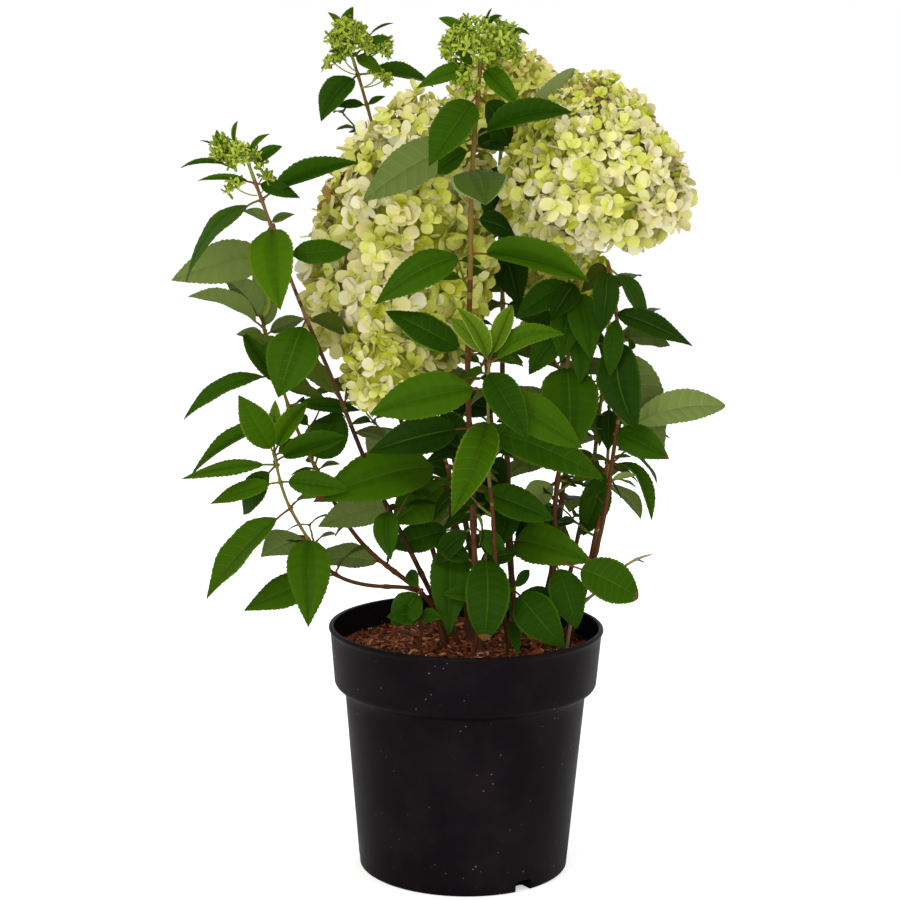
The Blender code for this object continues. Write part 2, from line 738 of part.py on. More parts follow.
def egg_radius(share):
    """The radius of a bloom, from 0 to 1, at a share of its height."""
    if share < BELLY:
        away, curve = (BELLY - share) / BELLY, BASE_CURVE
    else:
        away, curve = (share - BELLY) / (1 - BELLY), APEX_CURVE
    return max(0.0, 1 - away**curve) ** (1 / curve)


class Head:
    """The egg-shaped space of a bloom: places and outward directions on it."""

    def __init__(self, plan):
        self.base, self.apex = Vector(plan["base"]), Vector(plan["apex"])
        self.axis = self.apex - self.base
        up = self.axis.normalized()
        self.right = Vector((1, 0, 0)).cross(up).cross(up).normalized() * -1
        self.back = up.cross(self.right)
        self.radius, self.depth = plan["radius"], plan["depth"]

    def at(self, share, turn, grown=1.0):
        """A point on the head, or on a smaller or larger copy of it about its belly."""
        round_ = self.right * math.cos(turn) + self.back * (math.sin(turn) * self.depth)
        along = BELLY + (share - BELLY) * grown
        return self.base + self.axis * along + round_ * (self.radius * egg_radius(share) * grown)

    def outward(self, share, turn):
        step = 0.01
        low, high = max(0.0, share - step), min(1.0, share + step)
        along = self.at(high, turn) - self.at(low, turn)
        across = self.at(share, turn + step) - self.at(share, turn - step)
        if across.length < 0.01:
            return self.axis.normalized() * (1 if share > 0.5 else -1)
        return across.cross(along).normalized()


def floret_places(head, count):
    """Evenly spread places: equal steps of area from base to apex, turned by the golden angle."""
    steps = 200
    areas = [0.0]
    for k in range(steps):
        a, b = k / steps, (k + 1) / steps
        ra, rb = egg_radius(a) * head.radius, egg_radius(b) * head.radius
        slant = math.hypot(head.axis.length / steps, rb - ra)
        areas.append(areas[-1] + (ra + rb) * slant)
    places, k = [], 0
    for n in range(count):
        wanted = areas[-1] * (BARE_BASE + (1 - BARE_BASE) * (n + 0.5) / count)
        while areas[k + 1] < wanted:
            k += 1
        share = (k + (wanted - areas[k]) / (areas[k + 1] - areas[k])) / steps
        places.append((share, n * GOLDEN_ANGLE))
    return places


def floret_solid(centre, outward, size, rng, home):
    """Four petals: an eight-sided cone, its point rooted in the head, with every other corner drawn in."""
    bm = bmesh.new()
    deep = size * FLORET_ROOT
    bmesh.ops.create_cone(bm, cap_ends=True, cap_tris=True, segments=8, radius1=0, radius2=size, depth=deep)
    for v in bm.verts:
        eighth = round(math.atan2(v.co.y, v.co.x) / (math.pi / 4))
        if v.co.xy.length > 0.5 * size and eighth % 2:
            v.co = Vector((v.co.x * FLORET_NOTCH, v.co.y * FLORET_NOTCH, v.co.z - FLORET_CUP * size))
        v.co.z -= deep / 2
    spin = Matrix.Rotation(rng.uniform(0, math.pi / 2), 4, "Z")
    tilt = Vector((rng.uniform(-1, 1), rng.uniform(-1, 1), rng.uniform(-1, 1))) * FLORET_TILT
    turn = (outward + tilt).normalized().to_track_quat("Z", "Y").to_matrix().to_4x4()
    bmesh.ops.transform(bm, matrix=Matrix.Translation(centre) @ turn @ spin, verts=bm.verts)
    return object_from(bm, "floret", home, "floret")


def make_bloom(name, plan, root, heading, root_radius, seed, home):
    """A panicle: a stalk up from the shoot's tip, a smaller core, and florets that stand out of it."""
    head = Head(plan)
    rng = random.Random(seed)
    bm = bmesh.new()
    bmesh.ops.create_uvsphere(bm, u_segments=10, v_segments=7, radius=1.0)
    for v in bm.verts:
        flat = v.co.xy.length
        share = BELLY + v.co.z * (1 - BELLY if v.co.z > 0 else BELLY)
        turn = math.atan2(v.co.y, v.co.x) if flat > 0.001 else 0.0
        v.co = head.at(min(1.0, max(0.0, share)), turn, CORE_SHARE)
    core = object_from(bm, name, home, "floret")
    stalk = [root + heading * CLEAR, root + heading * 4, head.base + head.axis * 0.2]
    pieces = [core, tube(stalk, [root_radius, root_radius, root_radius * 0.7], "stalk", home, "floret")]
    for share, turn in floret_places(head, plan["florets"]):
        size = plan["size"] * rng.uniform(0.88, 1.12)
        place = head.at(share, turn, rng.uniform(0.95, 1.0))
        pieces.append(floret_solid(place, head.outward(share, turn), size, rng, home))
    return joined(name, pieces, home)


def rod(start, end, radius, name, home, slot):
    """A three-sided twig from one point to another."""
    bm = bmesh.new()
    axis = end - start
    bmesh.ops.create_cone(
        bm, cap_ends=True, cap_tris=True, segments=3, radius1=radius, radius2=radius, depth=axis.length
    )
    place = Matrix.Translation((start + end) / 2) @ axis.to_track_quat("Z", "Y").to_matrix().to_4x4()
    bmesh.ops.transform(bm, matrix=place, verts=bm.verts)
    return object_from(bm, name, home, slot)


def make_buds(name, plan, root, heading, root_radius, seed, home):
    """An unopened panicle: a stem with side twigs, each ending in a knot of green buds."""
    rng = random.Random(seed)
    spread, tall = plan["spread"], plan["tall"]
    start = root + heading * CLEAR
    top = start + heading * tall
    pieces = [tube([start, top], [root_radius, BUD_TWIG_RADIUS], name, home, "bud")]
    for n in range(plan["count"]):
        share = (n + 0.5) / plan["count"]
        fork = start.lerp(top, 0.14 + 0.8 * share)
        turn = n * GOLDEN_ANGLE
        wide = spread * math.sin(math.pi * (0.3 + 0.6 * share)) * rng.uniform(0.6, 1.0)
        out = Vector((math.cos(turn), math.sin(turn), 0)) * wide
        knot = fork + out + heading * (tall * (0.5 * share - 0.25))
        pieces.append(rod(fork, knot, BUD_TWIG_RADIUS, "twig", home, "bud"))
        size = BUD_KNOT * rng.uniform(0.7, 1.15)
        bm = bmesh.new()
        bmesh.ops.create_uvsphere(bm, u_segments=4, v_segments=2, radius=size)
        bmesh.ops.rotate(bm, matrix=Matrix.Rotation(turn, 3, "Z"), verts=bm.verts)
        bmesh.ops.translate(bm, vec=knot, verts=bm.verts)
        pieces.append(object_from(bm, "bud", home, "bud"))
    return joined(name, pieces, home)


def make_shoot(name, plan, stem, seed, taken, home):
    """A mass of foliage: its stem with every leaf of its pairs fused on, the roots sunk past its axis."""
    line = line_of(plan)
    pieces = [stem]
    for row, (along, leaves) in enumerate(plan["pairs"]):
        for column, one in enumerate(leaves):
            grown = grow_leaf(name, line.at(along), one, seed + 10 * row + column, taken, home)
            if grown:
                pieces.append(grown)
            else:
                print(f"{name}: no room for leaf {column + 1} at {along}")
    return joined(name, pieces, home)


def fork_off(stem, plan, home):
    """Fuses a side twig to a stem and returns both, with the twig's end and heading."""
    side = plan["side_bloom"]
    fork = line_of(plan).at(side["along"])
    end = fork.lerp(Vector(side["base"]), 0.65)
    twig = tube([fork, end], [1.6, SIDE_TWIG_RADIUS], "side_twig", home, "young_bark")
    return joined(stem.name, [stem, twig], home), end, (end - fork).normalized()


def make_dead_twig(home):
    """The dry twig, cut flat on the compost, with a snag near its tip."""
    line = line_of(DEAD_TWIG)
    stops = [-0.05, 0.2, 0.45, 0.7, 0.86, 1.0]
    radii = [radius_at(DEAD_TWIG, t) for t in stops]
    twig = cut_at_soil(tube([line.at(t) for t in stops], radii, "dead_twig", home, "young_bark"))
    joint = line.at(0.86)
    snag = rod(joint, joint + Vector(DEAD_TWIG["snag"]), DEAD_TWIG["snag_radius"], "snag", home, "young_bark")
    return joined("dead_twig", [twig, snag], home)


def raise_cane(name, plan, seed, taken, home):
    """A cane with the stem of its shoot and what it carries, all set out before any leaf grows."""
    line = line_of(plan)
    heading, thin = line.heading(1.0), plan["radius"][1]
    stem = shoot_stem(plan, "shoot_" + name, home)
    made = [make_cane(name, plan, home)]
    if "bloom" in plan:
        made.append(make_bloom("flower_" + name, plan["bloom"], line.tip, heading, thin, seed, home))
    if "side_bloom" in plan:
        stem, end, along = fork_off(stem, plan, home)
        side = plan["side_bloom"]
        made.append(make_bloom("flower_side", side, end, along, SIDE_TWIG_RADIUS, seed + 50, home))
    if "buds" in plan:
        made.append(make_buds("buds_" + name, plan["buds"], line.tip, heading, thin, seed, home))
    taken.extend((piece.name, tree_of(piece)) for piece in [*made, stem])
    return stem


def main():
    for obj in list(bpy.data.objects):
        bpy.data.objects.remove(obj)
    plant = collection("potted_hydrangea")
    pot = make_pot(plant, collection("cutters"))
    taken = [(piece.name, tree_of(piece)) for piece in (pot, make_soil(plant))]

    canes = {"shoot_" + name: plan for name, plan in CANES.items()}
    stems = {}
    for number, (name, plan) in enumerate(CANES.items()):
        stems["shoot_" + name] = raise_cane(name, plan, 100 + number, taken, plant)
    for name, plan in BASAL_SHOOTS.items():
        stems[name] = shoot_stem(plan, name, plant)
        taken.append((name, tree_of(stems[name])))
    twig = make_dead_twig(plant)
    taken.append((twig.name, tree_of(twig)))

    for number, (name, plan) in enumerate({**canes, **BASAL_SHOOTS}.items()):
        make_shoot(name, plan, stems[name], 1000 * number, taken, plant)


main()
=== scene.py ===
import math
import random

import bpy
import numpy as np
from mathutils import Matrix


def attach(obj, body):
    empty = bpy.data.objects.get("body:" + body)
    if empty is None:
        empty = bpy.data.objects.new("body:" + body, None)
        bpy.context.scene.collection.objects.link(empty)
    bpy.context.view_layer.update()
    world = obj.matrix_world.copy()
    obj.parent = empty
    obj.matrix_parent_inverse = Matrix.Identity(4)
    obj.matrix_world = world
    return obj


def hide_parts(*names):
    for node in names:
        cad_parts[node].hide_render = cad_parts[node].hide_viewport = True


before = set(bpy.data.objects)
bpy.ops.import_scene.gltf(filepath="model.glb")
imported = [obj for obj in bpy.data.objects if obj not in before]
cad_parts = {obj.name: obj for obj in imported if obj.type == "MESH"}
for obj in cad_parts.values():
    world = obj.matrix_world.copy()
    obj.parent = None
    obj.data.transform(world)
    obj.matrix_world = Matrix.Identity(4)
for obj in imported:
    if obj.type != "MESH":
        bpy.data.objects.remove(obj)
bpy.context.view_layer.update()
mm = 0.001
fullTurn = 2 * np.pi
goldenAngle = math.pi * (3 - math.sqrt(5))
upward = np.array((0, 0, 1.0))
print("frame loaded:", len(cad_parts), "solids")


# Gives a node its settings: a plain value is set, and another node's output is linked.
def feed(tree, node, settings):
    for name, value in settings.items():
        if isinstance(value, bpy.types.NodeSocket):
            tree.links.new(value, node.inputs[name])
        else:
            node.inputs[name].default_value = value
    return node


def addNode(tree, kind, **settings):
    named = {name.replace("_", " "): value for name, value in settings.items()}
    return feed(tree, tree.nodes.new("ShaderNode" + kind), named)


# A ramp between two colours, each with its place.
def addRamp(tree, value, *stops):
    ramp = addNode(tree, "ValToRGB", Fac=value)
    for element, (place, colour) in zip(ramp.color_ramp.elements, stops):
        element.position = place
        element.color = (*colour, 1)
    return ramp.outputs["Color"]


# A principled surface. Where it has a grain, its bump comes from fine noise on Object coordinates.
def surface(name, colour, rough, shine, grainSize=0.0, grainDepth=0.0, depth=0.0):
    made = bpy.data.materials.new(name)
    made.use_nodes = True
    tree = made.node_tree
    shader = tree.nodes["Principled BSDF"]
    feed(tree, shader, {"Base Color": (*colour, 1.0), "Roughness": rough, "Specular IOR Level": shine})
    if grainSize:
        spot = addNode(tree, "TexCoord").outputs["Object"]
        noise = addNode(tree, "TexNoise", Vector=spot, Scale=grainSize, Detail=4.0)
        bump = addNode(tree, "Bump", Height=noise.outputs[0], Strength=grainDepth, Distance=depth)
        feed(tree, shader, {"Normal": bump.outputs["Normal"]})
    return made


studio = {
    "cameraPlace": (-0.015, -1.669, 0.609),
    "pitchDown": 8.71,  # degrees
    "roll": 0.65,
    "lens": 81.64,
    "aim": (0.0, 0.0, 0.42),
    "skyLight": 0.66,
    "skySeen": 1.0,
    "floorGlow": 0.46,
    "floorSize": 80.0,
    # place, size, watts, tint
    "lamps": {
        "keyLight": ((-1.3, -2.1, 2.5), 1.0, 25.0, (1.0, 0.99, 0.96)),
        "frontLight": ((-0.4, -2.9, 0.5), 2.0, 30.0, (1.0, 0.99, 0.97)),
        "fillLight": ((2.0, -1.4, 1.2), 1.6, 8.0, (1.0, 0.99, 0.97)),
        "backLight": ((0.5, 2.2, 2.1), 1.5, 18.0, (1.0, 1.0, 1.0)),
    },
}


# Puts new data into the scene as an object.
def placed(name, data):
    made = bpy.data.objects.new(name, data)
    bpy.context.scene.collection.objects.link(made)
    return made


# A strength that the camera sees as one value and the light as another.
def seenAs(tree, lit, seen):
    path = addNode(tree, "LightPath").outputs["Is Camera Ray"]
    return addNode(tree, "MapRange", Value=path, To_Min=lit, To_Max=seen).outputs["Result"]


def setStudio():
    scene = bpy.context.scene
    scene.view_settings.view_transform = "Standard"
    camera = placed("camera", bpy.data.cameras.new("camera"))
    camera.data.sensor_width = 36.0
    camera.data.lens = studio["lens"]
    camera.data.clip_end = 60.0
    matrix = type(camera.matrix_world)
    tipped = matrix.Rotation(math.pi / 2 - math.radians(studio["pitchDown"]), 4, "X")
    rolled = matrix.Rotation(math.radians(studio["roll"]), 4, "Z")
    camera.matrix_world = matrix.Translation(studio["cameraPlace"]) @ tipped @ rolled
    scene.camera = camera
    for name, (place, size, watts, tint) in studio["lamps"].items():
        light = bpy.data.lights.new(name, "AREA")
        light.shape = "DISK"
        light.size = size
        light.energy = watts
        light.color = tint
        lamp = placed(name, light)
        lamp.location = place
        away = lamp.location - type(lamp.location)(studio["aim"])
        lamp.rotation_euler = away.to_track_quat("Z", "Y").to_euler()
    # the sky lights softly, and looks paler than it lights
    world = bpy.data.worlds.new("softSky")
    world.use_nodes = True
    tree = world.node_tree
    strength = seenAs(tree, studio["skyLight"], studio["skySeen"])
    feed(tree, tree.nodes["Background"], {"Color": (1.0, 1.0, 1.0, 1.0), "Strength": strength})
    scene.world = world
    half = studio["floorSize"] / 2
    sheet = bpy.data.meshes.new("studioFloor")
    corners = [(-half, -half, 0), (half, -half, 0), (half, half, 0), (-half, half, 0)]
    sheet.from_pydata(corners, [], [(0, 1, 2, 3)])
    pale = surface("paleFloor", (0.9, 0.9, 0.9), 0.9, 0.0)
    tree = pale.node_tree
    glow = seenAs(tree, 0.0, studio["floorGlow"])
    shining = {"Emission Color": (1.0, 1.0, 1.0, 1.0), "Emission Strength": glow}
    feed(tree, tree.nodes["Principled BSDF"], shining)
    sheet.materials.append(pale)
    placed("studioFloor", sheet)


setStudio()
print("camera, light and floor set")


# Unit vectors along the last axis.
def unit(v):
    return v / np.maximum(np.linalg.norm(v, axis=-1, keepdims=True), 1e-12)


# Places on a bent line from start to end that leans towards crest, (1-s)²·start + 2(1-s)s·crest + s²·end,
# and the way it heads there.
def bentLine(s, start, crest, end):
    line = (1 - s) ** 2 * start + 2 * (1 - s) * s * crest + s * s * end
    return line, unit(2 * (1 - s) * (crest - start) + 2 * s * (end - crest))


# A vector turned about the upright axis.
def turned(vector, degrees):
    a = math.radians(degrees)
    x, y, z = vector
    return (x * math.cos(a) - y * math.sin(a), x * math.sin(a) + y * math.cos(a), z)


# A batch is one kind of grid repeated: points (copies, points, 3), groups of faces numbered within one copy
# with their tones, and a place for each point on the leaf's or petal's own map.
def batch(points, groups, maps=None):
    copies, count = points.shape[:2]
    maps = np.zeros((1, 2)) if maps is None else maps
    return {"points": points, "groups": groups, "maps": np.broadcast_to(maps, (copies, count, 2))}


# Joins batches into one mesh. Each face keeps the material its tone names.
def makePiece(name, batches, materials, stands=(), crease=None):
    corners, sizes, tones = [], [], []
    start = 0
    for one in batches:
        copies, count = one["points"].shape[:2]
        shift = start + np.arange(copies)[:, None, None] * count
        for faces, tone in one["groups"]:
            corners.append((faces[None] + shift).reshape(-1))
            sizes.append(np.full(copies * len(faces), faces.shape[1]))
            tones.append(np.broadcast_to(tone, (copies, len(faces))).reshape(-1))
        start += copies * count
    corners, sizes, tones = (np.concatenate(part).astype(np.int32) for part in (corners, sizes, tones))
    places = np.concatenate([one["points"].reshape(-1, 3) for one in batches])
    maps = np.concatenate([one["maps"].reshape(-1, 2) for one in batches])
    mesh = bpy.data.meshes.new(name)
    mesh.vertices.add(len(places))
    mesh.vertices.foreach_set("co", places.astype(np.float32).reshape(-1))
    mesh.loops.add(len(corners))
    mesh.loops.foreach_set("vertex_index", corners)
    mesh.polygons.add(len(sizes))
    mesh.polygons.foreach_set("loop_start", np.concatenate([[0], np.cumsum(sizes)[:-1]]).astype(np.int32))
    mesh.polygons.foreach_set("material_index", tones)
    mesh.update(calc_edges=True)
    layer = mesh.uv_layers.new(name="growth")
    layer.data.foreach_set("uv", maps[corners].astype(np.float32).reshape(-1))
    mesh.shade_smooth()
    if crease:
        mesh.set_sharp_from_angle(angle=math.radians(crease))
    for each in materials:
        mesh.materials.append(each)
    piece = placed(name, mesh)
    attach(piece, "root")
    if stands:
        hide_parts(*stands)
    print(f"{name}: {int((sizes - 2).sum())} triangles")
    return piece


# Turns to each side of a round section.
def turnsOf(sides):
    return np.arange(sides) * 2 * np.pi / sides


# Faces of a tube: sides round it, rings along it, and a pole at each end.
def tubeFaces(rings, sides):
    ids = 1 + np.arange(rings * sides).reshape(rings, sides)
    after = np.roll(ids, -1, axis=1)
    quads = np.stack([ids[:-1], after[:-1], after[1:], ids[1:]], -1).reshape(-1, 4)
    foot = np.stack([np.zeros(sides, int), after[0], ids[0]], -1)
    top = np.stack([np.full(sides, rings * sides + 1), ids[-1], after[-1]], -1)
    return quads, np.concatenate([foot, top])


# A tube's batch from its skin (copies, rings, sides, 3) and its two poles. It has one tone for each copy, or
# one for each ring of each copy, or one for each face where its caps have their own.
def closedTube(first, skin, last, tone, capTone=None):
    copies, rings, sides = skin.shape[:3]
    points = np.concatenate([first, skin.reshape(copies, -1, 3), last], axis=1)
    quads, caps = tubeFaces(rings, sides)
    tone = np.asarray(tone)
    if capTone is None and tone.ndim == 2:
        tone, capTone = np.repeat(tone[:, :-1], sides, axis=1), np.repeat(tone[:, [0, -1]], sides, axis=1)
    elif capTone is None:
        tone = capTone = tone.reshape(-1, 1)
    return batch(points, [(quads, tone), (caps, capTone)])


# Tubes along paths (copies, rings, 3): point = path + radius·(side·cos turn + up·sin turn), where side and
# up stand square to the path. Radii are one for each ring, or one for each point of it.
def tubes(paths, radii, sides, tone=0):
    paths, radii = np.asarray(paths, float) * mm, np.asarray(radii, float) * mm
    copies, rings = paths.shape[:2]
    along = unit(np.gradient(paths, axis=1))
    steep = np.abs(unit(along.mean(axis=1))[:, 1:2]) > 0.85
    guide = np.where(steep, (1.0, 0.0, 0.0), (0.0, 1.0, 0.0))[:, None]
    side = unit(np.cross(along, guide))
    up = np.cross(along, side)
    turn = turnsOf(sides)[:, None]
    spoke = side[:, :, None] * np.cos(turn) + up[:, :, None] * np.sin(turn)
    radii = radii[..., None] if radii.ndim < 3 else radii
    skin = paths[:, :, None] + spoke * np.broadcast_to(radii, (copies, rings, sides))[..., None]
    return closedTube(paths[:, :1], skin, paths[:, -1:], tone)


# Small balls: the unit globe, (sin lift·cos turn, sin lift·sin turn, -cos lift), at each centre.
def balls(centres, radii, tone, rings, sides):
    lift = (np.pi * (np.arange(rings) + 1) / (rings + 1))[:, None]
    turn = turnsOf(sides)
    globe = [np.sin(lift) * np.cos(turn), np.sin(lift) * np.sin(turn), -np.cos(lift) * np.ones(sides)]
    globe = np.stack(globe, -1).reshape(-1, 3)
    globe = np.concatenate([[(0, 0, -1.0)], globe, [(0, 0, 1.0)]])
    scale = (np.asarray(radii, float) * mm).reshape(len(centres), -1)[:, None]
    points = (np.asarray(centres) * mm)[:, None] + globe[None] * scale
    quads, caps = tubeFaces(rings, sides)
    tone = np.asarray(tone).reshape(-1, 1)
    return batch(points, [(quads, tone), (caps, tone)])


# Faces of a grid of numbered points, and the triangles that close it at pole 0 and at pole 1. Turned over,
# they face the other way.
def sheetFaces(ids, over=False):
    first, last = ids[0], ids[-1]
    pole = np.zeros(len(first) - 1, int)
    ring = [ids[:-1, :-1], ids[:-1, 1:], ids[1:, 1:], ids[1:, :-1]]
    foot, end = [pole, first[1:], first[:-1]], [last[:-1], last[1:], pole + 1]
    if over:
        ring = [ring[k] for k in (0, 3, 2, 1)]
        foot, end = [pole, first[:-1], first[1:]], [last[1:], last[:-1], pole + 1]
    return [np.stack(corners, -1).reshape(-1, len(corners)) for corners in (ring, foot, end)]


# Point numbers of a double-sided sheet: its two poles, its upper rows, then its under rows, which share the
# upper margins.
def sheetIds(rows, columns):
    above = 2 + np.arange(rows * columns).reshape(rows, columns)
    below = above.copy()
    below[:, 1:-1] = 2 + rows * columns + np.arange(rows * (columns - 2)).reshape(rows, columns - 2)
    return above, below


pot = {
    "height": 206.0,
    "lipRadius": 115.0,
    "collarRadius": 113.4,
    "collarFootRadius": 110.0,
    "collarFoot": 160.0,
    "bodyTopRadius": 101.6,
    "bodyTop": 151.0,
    "footRadius": 88.0,
    "footRounding": 2.0,
    "tuckRounding": 6.0,
    "wall": 2.2,
    "floor": 3.0,
    "centreDisc": 20.0,
    "longestFace": 7.0,
    "sides": 192,
    "bow": 0.25,
    "drains": 3,
    "drainTurn": -56.0,  # degrees
    "drainSize": (26.0, 15.5, 19.0),
    "drainRounding": 2.5,
    "plastic": (0.0070, 0.0038, 0.0060),
    "darker": (0.0048, 0.0028, 0.0040),
    "dusty": (0.0120, 0.0082, 0.0098),
    "specks": (0.42, 0.36, 0.30),
}


# A quarter or part round in a profile, from one angle to another in degrees.
def roundCorner(radius, height, rounding, start, end, steps):
    turn = np.radians(np.linspace(start, end, steps + 1))
    return np.stack([radius + rounding * np.cos(turn), height + rounding * np.sin(turn)], -1)


# Points added along the straight runs of a profile, so that no face is long and thin.
def subdivided(profile, longest):
    runs = []
    for a, b in zip(profile[:-1], profile[1:]):
        steps = max(1, int(np.ceil(np.linalg.norm(b - a) / longest)))
        runs.append(a + (b - a) * np.arange(steps)[:, None] / steps)
    return np.concatenate([*runs, profile[-1:]])


# A profile turned round the upright axis: (radius·cos turn, radius·sin turn, height).
def lathe(radius, height, turn):
    return np.stack(np.broadcast_arrays(radius * np.cos(turn), radius * np.sin(turn), height + 0 * turn), -1)


# The tub: its profile turned round the axis, closed by a pole inside and one under the foot. The collar's
# wall bows in by a hair between its rim and its foot, as thin plastic does.
def makePot():
    p = pot
    wall, foot, tuck = p["wall"], p["footRounding"], p["tuckRounding"]
    floorRadius = p["footRadius"] - 2 * wall
    profile = [
        [[p["centreDisc"], 0.0]],
        roundCorner(p["footRadius"] - foot, foot, foot, -90, 0, 4),
        [[p["bodyTopRadius"] - 0.6, p["bodyTop"] - 1.2], [p["bodyTopRadius"] + 0.2, p["bodyTop"]]],
        roundCorner(p["collarFootRadius"] - tuck, p["collarFoot"], tuck, -62, 0, 8),
        [[p["collarRadius"], p["height"] - 3 * wall]],
        roundCorner(p["lipRadius"] - wall, p["height"] - wall, wall, -50, 150, 12),
        [[p["collarRadius"] - wall, p["height"] - 2.4 * wall]],
        [[p["collarFootRadius"] - wall, p["collarFoot"] + wall]],
        [[p["bodyTopRadius"] - wall, p["bodyTop"] - wall]],
        [[floorRadius, p["floor"] + 2.0], [floorRadius - 2.0, p["floor"]], [p["centreDisc"], p["floor"]]],
    ]
    profile = subdivided(np.concatenate(profile), p["longestFace"])
    turn = turnsOf(p["sides"])
    radius, height = profile[:, :1], profile[:, 1:]
    bow = p["bow"] * np.sin(3 * turn + 0.6) * np.clip((height - 60) / 140, 0, 1) * (radius > 60)
    skin = lathe(radius + bow, height, turn)[None] * mm
    poles = np.array([[[(0, 0, 0)]], [[(0, 0, p["floor"])]]]) * mm
    shell = closedTube(poles[0], skin, poles[1], 0)
    piece = makePiece("potShell", [shell], [potPlastic()], ["pot"])
    for k in range(p["drains"]):
        cutDrain(piece, math.radians(p["drainTurn"] + 360 * k / p["drains"]))
    piece.data.shade_smooth()
    piece.data.set_sharp_from_angle(angle=math.radians(35))


# A drain notch in the edge of the foot: a rounded block taken out of it.
def cutDrain(piece, turn):
    bpy.ops.mesh.primitive_cube_add(size=1.0)
    block = bpy.context.object
    block.scale = np.array(pot["drainSize"]) * mm
    block.rotation_euler = (0, 0, turn)
    block.location = (pot["footRadius"] * mm * math.cos(turn), pot["footRadius"] * mm * math.sin(turn), 0)
    bpy.ops.object.transform_apply(location=True, rotation=True, scale=True)
    edges = block.modifiers.new("edges", "BEVEL")
    edges.width = pot["drainRounding"] * mm
    edges.segments = 4
    bpy.context.view_layer.objects.active = piece
    cut = piece.modifiers.new("drain", "BOOLEAN")
    cut.operation = "DIFFERENCE"
    cut.object = block
    cut.solver = "EXACT"
    with bpy.context.temp_override(object=piece, active_object=piece):
        bpy.ops.object.modifier_apply(modifier=cut.name)
    bpy.data.objects.remove(block)


# Near-black moulded plastic: dusty smudges in broad soft noise, pale specks where dust lies, fine flow lines
# up the wall, and a worn gloss.
def potPlastic():
    made = surface("potPlastic", pot["plastic"], 0.42, 0.045)
    tree = made.node_tree
    spot = addNode(tree, "TexCoord").outputs["Object"]
    smudge = addNode(tree, "TexNoise", Vector=spot, Scale=16.0, Detail=7.0, Roughness=0.62).outputs[0]
    tint = addRamp(tree, smudge, (0.42, pot["darker"]), (0.78, pot["dusty"]))
    dust = addNode(tree, "TexVoronoi", Vector=spot, Scale=150.0).outputs["Distance"]
    grain = addRamp(tree, dust, (0.06, (1, 1, 1)), (0.11, (0, 0, 0)))
    patchy = addNode(tree, "TexNoise", Vector=spot, Scale=31.0).outputs[0]
    where = addRamp(tree, patchy, (0.5, (0, 0, 0)), (0.62, (0.45, 0.45, 0.45)))
    speck = addNode(tree, "MixRGB", Fac=1.0, Color1=grain, Color2=where)
    speck.blend_type = "MULTIPLY"
    lit = addNode(tree, "MixRGB", Fac=speck.outputs["Color"], Color1=tint, Color2=(*pot["specks"], 1))
    worn = addNode(tree, "MapRange", Value=smudge, From_Min=0.3, From_Max=0.75, To_Min=0.33, To_Max=0.52)
    flow = addNode(tree, "Mapping", Vector=spot, Scale=(1.0, 1.0, 0.06)).outputs["Vector"]
    lines = addNode(tree, "TexNoise", Vector=flow, Scale=60.0, Detail=3.0).outputs[0]
    bump = addNode(tree, "Bump", Height=lines, Strength=0.16, Distance=0.0006)
    finish = {"Base Color": lit.outputs["Color"], "Roughness": worn.outputs["Result"]}
    feed(tree, tree.nodes["Principled BSDF"], {**finish, "Normal": bump.outputs["Normal"]})
    return made


makePot()
print("pot made")


compost = {
    "top": 185.2,
    "flat": 100.0,
    "edge": 110.2,
    "edgeDrop": 0.5,
    "dropFrom": 78.0,
    "lowest": 6.0,
    "floor": 170.0,  # no chip goes below it
    "sides": 132,
    "rings": 44,
    "lumps": 2.2,  # height of its unevenness
    "chips": 1500,
    "crumbs": 2600,
    "fibres": 420,
    "perlite": 170,
    "tones": {
        "peatDark": (0.030, 0.010, 0.005),
        "peatBrown": (0.100, 0.026, 0.008),
        "barkRed": (0.240, 0.056, 0.017),
        "barkRust": (0.37, 0.098, 0.030),
        "barkTan": (0.52, 0.20, 0.070),
        "strawPale": (0.60, 0.36, 0.18),
        "perliteWhite": (0.72, 0.70, 0.64),
    },
    # rate, heading and height of the waves in its surface
    "waves": ((0.055, 0.3, 1.0), (0.082, 1.4, 0.8), (0.13, 2.5, 0.55), (0.21, 0.9, 0.4), (0.34, 2.0, 0.28)),
}


# Smooth unevenness: a sum of a few sine waves across the compost in several directions.
def lumpsAt(x, y):
    total = 0.0 * x
    for rate, heading, tall in compost["waves"]:
        total = total + tall * np.sin(rate * (x * np.cos(heading) + y * np.sin(heading)) + 5 * heading)
        total = total + tall * np.sin(1.13 * rate * (y * np.cos(heading) - x * np.sin(heading)) + heading)
    return total / 3.0


# The compost's height: flat, falling towards the wall, and uneven.
def soilHeight(x, y):
    away = np.hypot(x, y)
    fall = np.clip((away - compost["dropFrom"]) / (compost["edge"] - compost["dropFrom"]), 0, 1) ** 1.6
    lumps = compost["lumps"] * lumpsAt(x, y) * np.clip((112 - away) / 20, 0.3, 1)
    return compost["top"] - compost["edgeDrop"] * fall + lumps


# Places thrown evenly over the compost, out to a share of a radius.
def scattered(rng, count, radius, share):
    away = radius * np.sqrt(rng.uniform(0, share, count))
    angle = rng.uniform(0, fullTurn, count)
    return away * np.cos(angle), away * np.sin(angle)


def onSoil(x, y, lift):
    return np.stack([x, y, soilHeight(x, y) + lift], -1)


